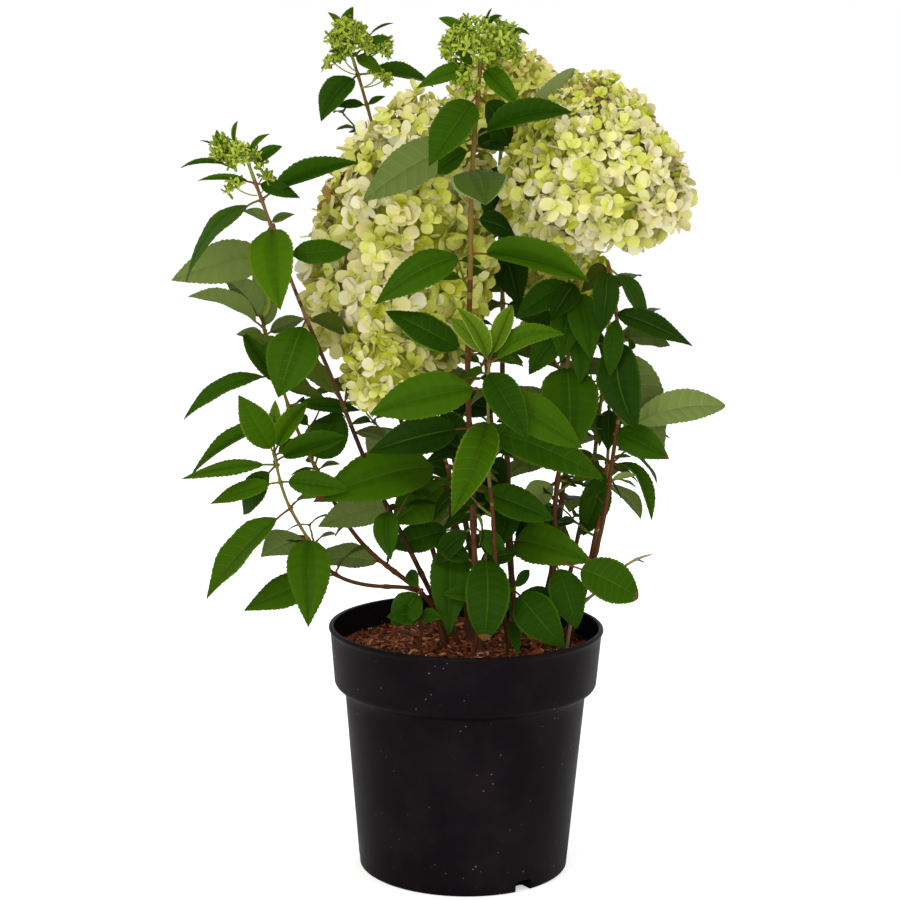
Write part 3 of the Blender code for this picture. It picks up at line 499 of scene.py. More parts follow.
# The mound, a lathe of uneven rings, with a stepped underside inside the pot's walls.
def soilMound(rng):
    c = compost
    turn = turnsOf(c["sides"])
    away = c["edge"] * np.sqrt(np.linspace(0.002, 1, c["rings"]))[:, None]
    x, y = away * np.cos(turn), away * np.sin(turn)
    mound = onSoil(x, y, rng.normal(0, 0.35, x.shape))
    under = [(c["edge"] - 0.9, 162.5), (98.0, 148.0), (74.0, 12.0), (70.0, c["lowest"])]
    under = np.stack([lathe(radius, height, turn) for radius, height in under])
    skin = np.concatenate([mound, under])[::-1]
    low, high = (np.array([[(0, 0, z)]]) * mm for z in (c["lowest"], float(mound[0, :, 2].mean())))
    tone = rng.choice([0, 0, 1, 1, 1, 2], (len(skin) - 1) * c["sides"])
    return closedTube(low, skin[None] * mm, high, tone, 0)


# Chips: a flattened bent prism of four sections; section(k) = middle + half width·across + half depth·up.
def barkChips(rng):
    n = compost["chips"]
    x, y = scattered(rng, n, compost["edge"], 0.94)
    long = rng.gamma(5.0, 1.35, n) + 2.5
    wide = long * rng.uniform(0.12, 0.42, n)
    thick = np.clip(wide * rng.uniform(0.2, 0.5, n), 0.4, 1.6)
    heading, dip, roll = rng.uniform(0, np.pi, n), rng.normal(0, 0.28, n), rng.normal(0, 0.5, n)
    along = np.stack([np.cos(heading) * np.cos(dip), np.sin(heading) * np.cos(dip), np.sin(dip)], -1)
    level = np.stack([-np.sin(heading), np.cos(heading), 0 * heading], -1)
    across = level * np.cos(roll)[:, None] + np.cross(along, level) * np.sin(roll)[:, None]
    up = np.cross(along, across)
    middle = onSoil(x, y, rng.uniform(-0.2, 1.5, n))
    step = np.array([-0.5, -0.28, 0.26, 0.5])
    width = np.array([0.45, 1.0, 0.85, 0.3]) * rng.uniform(0.7, 1.15, (n, 4))
    bend = (1 - (2 * step) ** 2) * rng.normal(0, 0.09, (n, 1))
    line = middle[:, None] + along[:, None] * (step * long[:, None])[..., None]
    line = line + up[:, None] * (bend * long[:, None])[..., None]
    corner = np.array([(1, 1), (-1, 1), (-1, -1), (1, -1)]) * 0.5
    skew = corner[None, None] * rng.uniform(0.75, 1.2, (n, 4, 4, 2))
    wide, thick = ((width * one[:, None])[..., None, None] for one in (wide, thick))
    skin = line[:, :, None] + across[:, None, None] * (skew[..., :1] * wide)
    skin = skin + up[:, None, None] * (skew[..., 1:] * thick)
    skin[..., 2] = np.maximum(skin[..., 2], compost["floor"])
    ends = line[:, [0, -1]] + along[:, None] * np.array([-0.3, 0.3])[:, None]
    tone = rng.choice(6, n, p=[0.13, 0.25, 0.27, 0.2, 0.11, 0.04])
    return closedTube(ends[:, :1] * mm, skin * mm, ends[:, 1:] * mm, tone)


# Fibres: thin strands, each a parabola lying on the compost.
def fibres(rng):
    n = compost["fibres"]
    x, y = scattered(rng, n, compost["flat"], 1)
    heading, curl = rng.uniform(0, fullTurn, n), rng.normal(0, 1.3, n)
    share = np.linspace(0, 1, 6)
    way = heading[:, None] + curl[:, None] * share
    reach = rng.uniform(4, 15, n)[:, None] * share
    x, y = x[:, None] + np.cos(way) * reach, y[:, None] + np.sin(way) * reach
    arch = 4 * share * (1 - share) * rng.uniform(0.2, 2.4, (n, 1))
    paths = np.stack([x, y, soilHeight(x, y) + 0.6 + arch], -1)
    return tubes(paths, rng.uniform(0.12, 0.3, (n, 1)) * np.ones(6), 4, rng.choice([2, 3, 4, 5], n))


def makeCompost():
    c = compost
    rng = np.random.default_rng(41)
    tones = [surface(n, colour, 0.92, 0.25, 900.0, 0.8, 0.0006) for n, colour in c["tones"].items()]
    makePiece("compostMound", [soilMound(rng)], tones[:3], ["compost"], 50)
    chips, strands = barkChips(rng), fibres(rng)

    # Crumbs of peat all over, and perlite, most of it thrown up near the front right of the pot.
    n = c["crumbs"]
    where = onSoil(*scattered(rng, n, c["edge"], 0.97), rng.uniform(-0.3, 0.8, n))
    sizes = rng.uniform(0.5, 1.7, (n, 1)) * rng.uniform(0.6, 1.2, (n, 3))
    crumbs = balls(where, sizes, rng.choice([0, 1, 1, 2, 3], n), 2, 5)
    n = c["perlite"]
    near = rng.random(n) < 0.65
    x = np.where(near, rng.normal(52, 24, n), rng.uniform(-95, 95, n))
    y = np.where(near, rng.normal(-72, 16, n), rng.uniform(-95, 95, n))
    inside = np.minimum(1.0, 104.0 / np.hypot(x, y))
    x, y = x * inside, y * inside
    where = onSoil(x, y, rng.uniform(0.4, 1.6, n))
    sizes = rng.uniform(0.45, 1.25, (n, 1)) * rng.uniform(0.7, 1.2, (n, 3))
    makePiece("barkChips", [chips], tones, crease=38)
    makePiece("peatCrumbs", [crumbs, balls(where, sizes, 6, 2, 6), strands], tones, crease=50)


makeCompost()
print("compost made")


# Which way a leaf faces, the canes with their leaves in pairs, and what each cane carries.
front, back, sky = (0.0, -1.0, 0.55), (0.0, 1.0, 0.75), (0.0, -0.7, 1.0)
backLow = (0.0, 1.0, 0.2)
frontLeft, frontRight = (-0.8, -0.8, 0.7), (0.8, -0.8, 0.7)


# One leaf: the way from its node to its tip, where its upper face looks, its width to length, and its look:
# words for the tone above, the tone below, and how the blade is bent.
def leaf(right, ahead, up, face=None, broad=0.0, look=""):
    return {"reach": (right, ahead, up), "face": face, "broad": broad, "look": look}


# Opposite pairs, each turned a right angle from the one below, smaller towards the tip of the cane.
def crossedPairs(seed, first, last, count, turn, length):
    rng = random.Random(seed)
    pairs = []
    for k in range(count):
        share = k / max(1, count - 1)
        leaves = []
        for side in (0, 180):
            heading = math.radians(turn + 90 * k + side + rng.uniform(-14, 14))
            dip = math.radians(rng.uniform(-38, -12) + 42 * share)
            size = length * (1 - 0.35 * share) * rng.uniform(0.88, 1.08)
            level = size * math.cos(dip)
            leaves.append(leaf(level * math.cos(heading), level * math.sin(heading), size * math.sin(dip)))
        pairs.append((first + (last - first) * share, *leaves))
    return pairs


# Leaves inside the bush and under the blooms take the deep and dark tones as painted shade.
canes = {
    "left_tall": {
        "foot": (-2, 2), "middle": (-85, -25, 352), "tip": (-172, -50, 576), "radius": (2.7, 1.6),
        "bark": "dark",
        "pairs": [
            (0.385, leaf(-58, 12, -18, backLow, 0.6, "greyUnder seated"),
             leaf(4, -30, -36, front, 0.55, "dark")),
            (0.6, leaf(-84, 30, 58, back, 0.3, "dark"), leaf(24, 30, 26, back, 0.4, "dark")),
            (0.765, leaf(-20, -34, -58, front, 0.72, "mid flat"), leaf(34, 44, -20, back, look="dark")),
            (0.87, leaf(-92, 22, -16, backLow, 0.44, "greyUnder"), leaf(54, 14, 8, front, 0.48, "mid")),
            (0.918, leaf(10, -46, -58, front, 0.6, "fresh pleated seated"), leaf(-4, 56, -22, look="dark")),
            (0.928, leaf(-22, 8, 10, back, 0.55, "greyUnder"), leaf(20, -8, 8, front, 0.45, "greyTop")),
            (0.965, leaf(-58, -22, -60, (-0.6, -0.7, 1.0), 0.52, "mid bowedLeft"),
             leaf(76, 4, 34, front, 0.25, "dark folded")),
            (0.99, leaf(36, -14, -10, front, 0.42, "dark"), leaf(-46, 4, 4, front, 0.14, "fresh folded")),
        ],
        "buds": {"spread": 24, "tall": 32, "count": 9},
    },
    "left_low": {
        "foot": (-15, 9), "knee": 40, "middle": (-110, 10, 303), "tip": (-171, 15, 455),
        "radius": (2.6, 1.4), "bark": "red",
        "pairs": [
            (0.25, leaf(-70, 8, 2, back, 0.56, "greyUnder"), leaf(16, 24, 16)),
            (0.62, leaf(17, 20, 44, front, 0.9, "dark round"), leaf(2, 40, 10, look="dark")),
            (0.75, leaf(-86, 6, -46, frontLeft, 0.2, "mid folded"), leaf(6, 46, 12, look="dark")),
            (0.83, leaf(-34, 4, 50, front, 0.34, "dark folded"), leaf(36, 8, -8, back, 0.42, "dark")),
            (0.87, leaf(-78, -6, -37, frontLeft, 0.28, "mid curled"), leaf(26, 34, -14, look="dark")),
            (0.97, leaf(32, 8, 14, back, 0.55, "greyUnder"), leaf(-24, -8, 2, back, 0.6, "greyUnder")),
            (0.985, leaf(-62, -6, 30, back, 0.3, "greyUnder folded"),
             leaf(8, 16, 36, back, 0.5, "paleUnder")),
            (0.998, leaf(-34, 4, 42, back, 0.62, "greyUnder pleated"),
             leaf(-10, 14, 44, back, 0.4, "limeUnder")),
            (0.79, leaf(59, 24, -6, front, 0.26, "dark")),
        ],
    },
    "left_trailing": {
        "foot": (-17, -8), "knee": 65, "middle": (-114, -31, 260), "tip": (-157, -40, 356),
        "radius": (2.2, 1.3), "bark": "mixed",
        "pairs": [
            (0.45, leaf(-74, -14, -26, frontLeft, 0.55, "mid flat straight"), leaf(26, 34, 18, look="mid")),
            (0.63, leaf(3, -44, -60, front, 0.6, "mid pleated seated"),
             leaf(-42, 30, -20, back, 0.78, "greyUnder")),
            (0.77, leaf(-66, -22, -70, frontLeft, 0.48, "fresh pleated straight"),
             leaf(24, 28, 6, look="mid")),
            (0.88, leaf(56, -12, -2, front, 0.46, "mid"), leaf(-58, 6, -18, front, 0.34, "fresh")),
            (0.95, leaf(-76, -10, -10, front, 0.22, "mid curled"), leaf(-30, 28, -44, front, 0.5, "dark")),
            (0.985, leaf(-28, -12, 54, front, 0.5, "fresh"), leaf(24, 8, 12, front, 0.5, "fresh")),
            (0.998, leaf(27, 4, 42, front, 0.36, "fresh folded"), leaf(0, 10, 44, front, 0.3, "lime")),
            (0.965, leaf(58, -4, 22, front, 0.34, "dark folded")),
        ],
    },
    "bloom_left": {
        "foot": (6, 17), "middle": (-18, 25, 330), "tip": (-44, 48, 430), "radius": (4.6, 2.4),
        "bark": "brown", "turned": {(0, 0): -22},
        "pairs": [
            (0.32, leaf(18, -56, -76, front, 0.42, "dark"), leaf(-56, -12, -12, front, 0.56, "dark")),
            (0.47, leaf(-46, -32, -31, front, 0.8, "mid flat"), leaf(-12, 30, -34, look="deep")),
            (0.515, leaf(-107, -78, -12, front, 0.42, "mid tipped"), leaf(44, 12, -12, look="dark")),
            (0.8, leaf(-50, 42, -26, look="dark"), leaf(48, 36, -22, look="dark")),
            (0.5, leaf(-22, -22, 9, front, 0.8, "deep")),
        ],
        "bloom": {"base": (-75, 50, 418), "apex": (-31, 52, 648), "radius": 74.5, "depth": 0.95,
                  "apexCurve": 2.25, "belly": 0.27},
        "sideBloom": {"along": 0.72, "base": (-58, 2, 394), "apex": (-82, -2, 452), "radius": 34,
                      "depth": 1.0},
    },
    "back_tall": {
        "foot": (18, 34), "middle": (-36, 140, 432), "tip": (-100, 96, 670), "radius": (3.2, 1.5),
        "bark": "brown", "turned": {(0, 0): -14, (0, 1): 30, (3, 0): 40, (5, 1): 22},
        "pairs": crossedPairs(3, 0.34, 0.7, 4, 20, 86)
        + [
            (0.925, leaf(-26, -6, 0, front, 0.4, "dark"), leaf(16, -6, 9, front, 0.4, "dark")),
            (0.98, leaf(-30, -22, -38, front, 0.6, "dark pleated"),
             leaf(72, 6, -6, front, 0.26, "mid folded")),
        ],
        "buds": {"spread": 33, "tall": 34, "count": 10},
    },
    "centre_front": {
        "foot": (13, -14), "middle": (-1, -40, 441), "tip": (6, -32, 670), "radius": (3.3, 1.9),
        "bark": "brown", "turned": {(0, 0): -22, (1, 0): 7},
        "pairs": [
            (0.235, leaf(16, -26, -22, back, 0.5, "greyUnder"), leaf(-26, 18, -20, look="deep")),
            (0.27, leaf(66, -10, -22, front, 0.5, "dark"), leaf(-32, 24, -30, look="deep")),
            (0.37, leaf(-81, -14, -18, front, 0.5, "deep"), leaf(108, -24, -33, front, 0.36, "mid")),
            (0.49, leaf(-66, -8, 38, front, 0.46, "dark edged"), leaf(46, 34, -8, look="dark")),
            (0.66, leaf(-75, -24, -36, front, 0.44, "mid curled"),
             leaf(94, -18, -18, front, 0.3, "mid folded")),
            (0.8, leaf(10, -62, -22, sky, 0.8, "greyTop flat"), leaf(16, 48, -36, front, 0.6, "deep")),
            (0.86, leaf(76, -6, 21, front, 0.3, "dark folded"),
             leaf(-88, -4, -47, backLow, 0.42, "greyUnder")),
            (0.935, leaf(-38, -28, -55, front, 0.6, "mid pleated"), leaf(26, 40, -38, front, 0.6, "deep")),
            (0.985, leaf(30, -16, -28, front, 0.55, "mid pleated"), leaf(-50, 4, -14, front, 0.36, "mid")),
            (0.15, leaf(-34, 8, 14, front, 0.5, "deep"), leaf(36, 12, 8, front, 0.5, "deep")),
            (0.21, leaf(26, 14, -30, front, 0.5, "dark"), leaf(-30, 12, -34, front, 0.5, "deep")),
            (0.32, leaf(-38, 20, 8, front, 0.5, "deep"), leaf(-24, 24, 40, front, 0.5, "deep")),
            (0.84, leaf(24, 30, 4, front, 0.8, "deep"), leaf(-30, 16, -18, front, 0.7, "dark")),
            (0.72, leaf(36, 26, -14, front, 0.6, "deep")),
        ],
        "buds": {"spread": 37, "tall": 32, "count": 18},
    },
    "fresh_front": {
        "foot": (37, -4), "middle": (18, -55, 321), "tip": (15, -85, 438), "radius": (2.2, 1.4),
        "bark": "mixed",
        "pairs": [
            (0.77, leaf(-28, -40, -66, front, 0.5, "fresh pleated seated")),
            (0.89, leaf(-92, -20, -18, front, 0.48, "mid pleated"), leaf(74, -10, -44, front, 0.48, "mid")),
            (0.945, leaf(30, -34, -44, front, 0.56, "dark pleated seated"), leaf(-24, 38, -12, look="mid")),
            (0.985, leaf(-26, -8, 46, front, 0.3, "lime folded"),
             leaf(58, -10, 26, front, 0.33, "fresh bowedRight")),
            (0.998, leaf(-31, 20, 33, front, 0.4, "lime"), leaf(17, 6, 44, front, 0.34, "lime folded")),
        ],
    },
    "centre_back": {
        "foot": (43, 24), "middle": (31, 68, 388), "tip": (26, 134, 584), "radius": (3.4, 1.9),
        "bark": "brown", "turned": {(0, 0): -6, (1, 0): 7, (2, 1): 22},
        "pairs": [
            (0.2, leaf(74, -48, 0, front, 0.5, "mid tipped arched"), leaf(-40, 34, -10)),
            (0.3, leaf(40, -34, -24, front, look="dark"), leaf(-48, 20, -30)),
            (0.52, leaf(60, 30, -30), leaf(-54, -30, -28)),
            (0.7, leaf(50, -46, -20, front), leaf(-30, 52, -20)),
            (0.86, leaf(26, -34, 44, front, 0.6, "dark"), leaf(-34, 52, -24)),
            (0.96, leaf(60, -56, 104, front, 0.38, "silver blunt bowedLeft stalked"), leaf(-40, 32, -30)),
            (0.84, leaf(-24, -40, -34, front, 0.7, "deep"), leaf(16, -36, -52, front, 0.6, "deep")),
            (0.4, leaf(-54, 8, -6, front, 0.5, "deep"), leaf(-22, 8, -60, front, 0.5, "deep")),
            (0.47, leaf(-56, 4, 12, front, 0.5, "deep")),
            (0.93, leaf(-26, -38, 26, front, 0.7, "deep"), leaf(-8, -50, -12, front, 0.6, "deep")),
            (0.28, leaf(-8, -36, -30, front, 0.6, "dark")),
        ],
        "bloom": {"base": (29, 148, 602), "apex": (34, 150, 690), "radius": 51, "depth": 0.9},
    },
    "bloom_right": {
        "foot": (70, 17), "middle": (76, 15, 335), "tip": (88, 15, 498), "radius": (3.0, 2.1),
        "bark": "brown", "turned": {(0, 0): 22},
        "pairs": [
            (0.47, leaf(-28, 10, -28, back, 0.85, "paleUnder"), leaf(40, 22, -22)),
            (0.64, leaf(-20, 50, 12), leaf(34, 44, -30)),
            (0.77, leaf(2, -38, -62, front, 0.78, "mid flat round seated"), leaf(-5, 52, -20)),
            (0.9, leaf(-36, -12, -48, front, 0.5, "dark"), leaf(30, 34, -52, look="dark")),
            (0.97, leaf(-12, -24, -58, front, 0.5, "dark"), leaf(12, -34, -54, front, 0.5, "dark")),
            (0.985, leaf(-50, -14, -28, front, 0.5, "dark"), leaf(-22, -26, -30, front, 0.62, "deep")),
            (0.885, leaf(6, -20, -48, front, 0.42, "dark")),
        ],
        "bloom": {"base": (99, 15, 521), "apex": (97, 15, 664), "radius": 78, "depth": 0.9,
                  "apexCurve": 1.45},
    },
    "right_tall": {
        "foot": (86, 18), "middle": (122, -5, 368), "tip": (111, -2, 512), "radius": (2.7, 1.5),
        "bark": "red",
        "pairs": [
            (0.38, leaf(24, 8, 6, back, 0.4, "paleUnder"), leaf(-22, -14, -10)),
            (0.505, leaf(88, -8, 27, backLow, 0.4, "paleUnder blunt"),
             leaf(42, -22, -16, front, 0.66, "dark tipped seated")),
            (0.75, leaf(14, -32, -68, front, 0.56, "deep seated bowedLeft"),
             leaf(42, 22, -98, backLow, 0.5, "greyUnder")),
            (0.835, leaf(61, -16, -22, (0.2, -0.9, 0.6), 0.48, "deep curled seated straight"),
             leaf(-6, -24, -50, front, 0.36, "dark")),
            (0.97, leaf(31, 6, -45, frontRight, 0.5, "dark"), leaf(-20, 44, -22)),
            (0.985, leaf(-6, -16, -54, front, 0.46, "deep")),
        ],
    },
    "right_short": {
        "foot": (84, 36), "middle": (114, 48, 290), "tip": (120, 56, 385), "radius": (2.8, 1.5),
        "bark": "red", "turned": {(2, 0): 7},
        "pairs": [
            (0.73, leaf(-19, 8, -62, front, 0.5, "dark"),
             leaf(35, -40, -39, frontRight, 0.26, "mid folded arched")),
            (0.9, leaf(-28, 40, -10), leaf(34, 36, -10)),
            (0.995, leaf(-6, -30, -34, front, 0.55, "deep"), leaf(10, 34, 26)),
        ],
    },
    "back_left": {
        "foot": (-8, 40), "middle": (-56, 116, 350), "tip": (-96, 158, 508), "radius": (2.8, 1.5),
        "bark": "brown", "turned": {(1, 1): -40},
        "pairs": crossedPairs(11, 0.37, 0.99, 6, 35, 92),
    },
    "back_right": {
        "foot": (60, 46), "middle": (86, 104, 310), "tip": (82, 138, 424), "radius": (3.0, 1.8),
        "bark": "brown", "turned": {(1, 0): -7, (1, 1): -30, (2, 0): -22, (3, 0): -14},
        "pairs": crossedPairs(23, 0.42, 0.9, 4, 70, 88),
        "bloom": {"base": (82, 141, 440), "apex": (86, 146, 532), "radius": 42, "depth": 1.0},
    },
    "back_middle": {
        "foot": (28, 56), "middle": (24, 138, 320), "tip": (10, 186, 470), "radius": (2.7, 1.5),
        "bark": "brown", "absent": {(1, 1)},
        "pairs": crossedPairs(31, 0.42, 0.99, 5, 10, 92),
    },
    "far_right": {
        "foot": (76, 56), "middle": (112, 112, 330), "tip": (124, 136, 474), "radius": (2.7, 1.5),
        "bark": "brown", "turned": {(3, 1): -7, (4, 1): 40}, "absent": {(0, 1)},
        "pairs": crossedPairs(47, 0.42, 0.99, 5, 50, 84),
    },
}

# Short leafy shoots from the crown, whose leaves hang over the compost.
basalShoots = {
    "basal_front": {
        "foot": (6, -27), "middle": (12, -32, 228), "tip": (15, -35, 270), "radius": (1.9, 1.4),
        "turned": {(1, 1): -7},
        "pairs": [
            (0.6, leaf(-34, -6, 4, front, 0.5, "dark"), leaf(26, -6, 8, front, 0.4, "mid")),
            (0.98, leaf(-1, -36, -58, front, 0.64, "dark tipped oval seated"), leaf(-10, 34, 10)),
        ],
    },
    "basal_middle": {
        "foot": (34, -22), "middle": (37, -26, 214), "tip": (38, -29, 244), "radius": (1.8, 1.3),
        "pairs": [
            (0.55, leaf(6, -28, -22, front, 0.34, "dark"), leaf(-8, 26, 14)),
            (0.97, leaf(42, -32, -38, front, 0.64, "dark flat"), leaf(14, 18, 14)),
        ],
    },
    "basal_right": {
        "foot": (74, -4), "middle": (74, -8, 224), "tip": (73, -12, 265), "radius": (1.9, 1.4),
        "turned": {(1, 0): 40},
        "pairs": [
            (0.6, leaf(-28, -10, 6, front, 0.5, "deep"), leaf(30, 12, 6)),
            (0.97, leaf(-2, -30, -50, front, 0.62, "dark"),
             leaf(68, -18, -24, front, 0.58, "mid tipped oval stalked")),
        ],
    },
    "basal_left": {
        "foot": (-36, -32), "middle": (-38, -32, 213), "tip": (-37, -31, 243), "radius": (1.8, 1.3),
        "turned": {(1, 1): 7},
        "pairs": [
            (0.6, leaf(-26, -26, 8, front, 0.6, "dark"), leaf(20, -22, 6, front, 0.5, "dark")),
            (0.97, leaf(-24, -18, -24, front, 0.8, "dark"), leaf(-6, 30, 12)),
        ],
    },
}

deadTwig = {
    "foot": (84, -12), "knee": 30, "middle": (113, -9, 242), "tip": (154, -4, 268), "radius": (1.9, 1.2),
    "snag": (6, -2, -2), "joints": (0.3, 0.58, 0.86),
}

# Finer growth within the same reach: side shoots at a share of a cane, their length, the heading they leave
# by in degrees, and the leaves of each pair on them.
sideShoots = {
    "back_left": [(0.45, 52, 150, 34, 3), (0.62, 46, 40, 36, 3), (0.8, 40, 210, 34, 3)],
    "back_middle": [(0.45, 50, 60, 34, 3), (0.62, 46, 140, 36, 3), (0.8, 38, 80, 32, 3)],
    "back_right": [(0.5, 48, 80, 34, 3), (0.7, 40, 10, 32, 2)],
    "far_right": [(0.45, 46, 20, 34, 3), (0.65, 42, 100, 34, 3), (0.84, 34, 330, 30, 2)],
    "back_tall": [(0.42, 50, 110, 36, 3), (0.56, 46, 190, 34, 3),
                  (0.74, 40, 80, 32, 3), (0.86, 30, 200, 26, 2)],
    "centre_back": [(0.26, 40, 350, 34, 3), (0.42, 44, 60, 34, 3),
                    (0.6, 42, 160, 34, 3), (0.78, 36, 20, 30, 2)],
    "left_tall": [(0.36, 34, 60, 32, 3)],
    "left_low": [(0.5, 34, 120, 30, 2), (0.7, 30, 60, 28, 2)],
    "bloom_left": [(0.36, 44, 165, 36, 3), (0.42, 34, 60, 34, 3), (0.6, 34, 100, 30, 2)],
    "bloom_right": [(0.34, 36, 170, 34, 3), (0.44, 34, 30, 32, 3),
                    (0.55, 34, 60, 32, 2), (0.75, 30, 120, 30, 2)],
    "right_tall": [(0.65, 30, 110, 28, 2)],
    "right_short": [(0.42, 30, 160, 30, 3), (0.6, 30, 80, 28, 2), (0.85, 26, 20, 26, 2)],
    "left_trailing": [(0.55, 28, 110, 28, 2)],
    "centre_front": [(0.32, 34, 150, 32, 3), (0.44, 34, 60, 32, 3), (0.6, 28, 110, 28, 2)],
    "fresh_front": [(0.45, 30, 150, 30, 2), (0.62, 30, 60, 28, 2)],
}
print("plan ready:", len(canes), "canes,", len(basalShoots), "basal shoots")


stemPlan = {
    "soilTop": 183.0,
    "slim": 0.84,
    "footFlare": 1.45,  # times a cane's thickness at its foot
    "shootFlare": 0.15,  # added to a shoot's
    "flareLength": 14.0,
    "rooted": 6.0,  # how far a stem goes into the compost
    "scars": [0.12, 0.22],  # bare nodes low on a cane
    "rings": 96,
    "sides": 14,
    "swell": 0.3,  # how much thicker a node is
    "swellReach": 3.2,
    "ridges": 0.05,
    "sway": 0.9,
    "bark": {
        "barkGrey": (0.090, 0.043, 0.018),
        "barkBrown": (0.082, 0.032, 0.009),
        "barkDark": (0.036, 0.016, 0.006),
        "barkRed": (0.098, 0.034, 0.010),
        "barkBuff": (0.19, 0.102, 0.044),
        "stemOlive": (0.190, 0.125, 0.026),
        "stemGreen": (0.165, 0.160, 0.030),
        "deadTan": (0.33, 0.235, 0.13),
        "snagYellow": (0.52, 0.42, 0.17),
    },
    # the tones of a cane from its foot to its tip
    "steps": {
        "brown": ("barkGrey", "barkBrown", "barkRed", "stemOlive", "stemOlive"),
        "red": ("barkBrown", "barkRed", "barkRed", "stemOlive", "stemOlive"),
        "mixed": ("barkBrown", "barkBrown", "barkRed", "stemOlive", "stemGreen"),
        "dark": ("barkBrown", "barkDark", "barkDark", "barkBrown", "barkBuff"),
    },
    # how often each ridge goes round, its height, and how fast it turns along the cane
    "ridgeWaves": ((2, 0.6, 0.4), (3, 0.8, -0.2), (5, 1.0, 0.15), (6, 0.6, -0.1)),
}
barkTone = {name: k for k, name in enumerate(stemPlan["bark"])}


# A cane's centre line: a parabola through its foot, its middle point and its tip, with a slight sway that
# dies away at both ends, and a trailing cane's knee: knee·(1-e^(-t/0.05))·(1-2t)^1.5.
class Line:
    def __init__(self, plan):
        self.foot = np.array((*plan["foot"], stemPlan["soilTop"]), float)
        self.tip = np.array(plan["tip"], float)
        self.bend = 2 * np.array(plan["middle"], float) - (self.foot + self.tip) / 2
        self.phase, self.knee = float(np.sum(self.foot + self.tip)) % 6.28, plan.get("knee", 0)
        steps = self.at(np.linspace(0, 1, 41))
        self.length = float(np.linalg.norm(np.diff(steps, axis=0), axis=1).sum())

    def at(self, t):
        t = np.asarray(t, float)[..., None]
        line = bentLine(t, self.foot, self.bend, self.tip)[0]
        sway = stemPlan["sway"] * np.sin(np.pi * np.clip(t, 0, 1))
        low = self.knee * (1 - np.exp(-t / 0.05)) * np.clip(1 - t / 0.5, 0, 1) ** 1.5
        wave = np.concatenate([np.sin(17 * t + self.phase), np.cos(14 * t + self.phase), 0 * t], -1)
        return line + sway * wave + low * upward

    def heading(self, t):
        return bentLine(t, self.foot, self.bend, self.tip)[1]


# Radius of a limb: plain taper, a flare at the foot, a swelling at each node, and ridges that turn slowly
# round it. At each ring and side: taper·(1 + flare + swell·e^-(distance to node)²)·(1 + ridges·sin(k·turn)).
def limbRadii(radius, t, length, joints, flare, rng, sides):
    taper = stemPlan["slim"] * (radius[0] + (radius[1] - radius[0]) * np.clip(t, 0, 1))
    grown = 1 + flare * np.clip(1 - t * length / stemPlan["flareLength"], 0, 1.2) ** 2
    for joint in joints:
        away = (t - joint) * length / stemPlan["swellReach"]
        grown = grown + stemPlan["swell"] * np.exp(-(away**2)) - 0.08 * np.exp(-((away - 2.6) ** 2))
    turn = turnsOf(sides)
    twist = 0.02 * length * t[:, None]
    waves = stemPlan["ridgeWaves"]
    rough = sum(tall * np.sin(k * (turn + twist * turns) + rng.uniform(0, 6.28)) for k, tall, turns in waves)
    rough = rough * stemPlan["ridges"] + rng.normal(0, 0.012, (len(t), sides))
    return (taper * grown)[:, None] * (1 + rough)


# Tones along a cane, woody at the foot and greener where it is young. Rings differ a little.
def caneTones(t, bark, rng):
    place = np.clip(t * 5.4 + rng.normal(0, 0.3, len(t)), 0, 4.4).astype(int)
    return np.array([barkTone[name] for name in stemPlan["steps"][bark]])[place]


# The main stems, each swept from just under the compost to its tip, and the dead wood.
def makeStems():
    p = stemPlan
    rng = np.random.default_rng(5)
    materials = [surface(n, c, 0.6, 0.1, 700.0, 0.5, 0.0004) for n, c in p["bark"].items()]
    paths, radii, tones = [], [], []
    for name, plan in {**canes, **basalShoots}.items():
        line = Line(plan)
        grown = name in canes
        t = np.linspace(-p["rooted"] / line.length, 1.0, p["rings"])
        joints = [row[0] for row in plan["pairs"]] + (p["scars"] if grown else [])
        flare = p["footFlare"] - 1 if grown else p["shootFlare"]
        paths.append(line.at(t))
        radii.append(limbRadii(plan["radius"], t, line.length, joints, flare, rng, p["sides"]))
        tones.append(caneTones(t if grown else t * 0.4, plan.get("bark", "red"), rng))
    stems = tubes(paths, radii, p["sides"], np.array(tones))

    twig = Line(deadTwig)
    t = np.linspace(-0.08, 1.0, 48)
    stub = limbRadii(deadTwig["radius"], t, twig.length, deadTwig["joints"], 0.0, rng, p["sides"])
    stub[-3:] *= np.array([0.92, 0.7, 0.35])[:, None]
    dead = tubes([twig.at(t)], [stub], p["sides"], barkTone["deadTan"])
    snagLine = np.linspace(0, 1, 8)[:, None] * np.array(deadTwig["snag"], float)
    snagLine = twig.at(deadTwig["joints"][-1]) + snagLine
    snag = tubes([snagLine], [np.linspace(1.0, 0.5, 8)], 8, barkTone["barkBuff"])
    # a pale split stub on a cane, where an old bloom was cut
    t = np.linspace(0, 1, 10)
    stubLine = Line(canes["right_tall"]).at(0.14) + t[:, None] * np.array((3.0, -9.0, 17.0))
    split = limbRadii((2.5, 2.0), t, 24.0, (), 0.0, rng, p["sides"])
    cut = tubes([stubLine], [split], p["sides"], barkTone["snagYellow"])
    stands = ["cane_" + name for name in canes] + ["dead_twig"]
    makePiece("barkStems", [stems, dead, snag, cut], materials, stands, 60)


makeStems()
print("stems made")


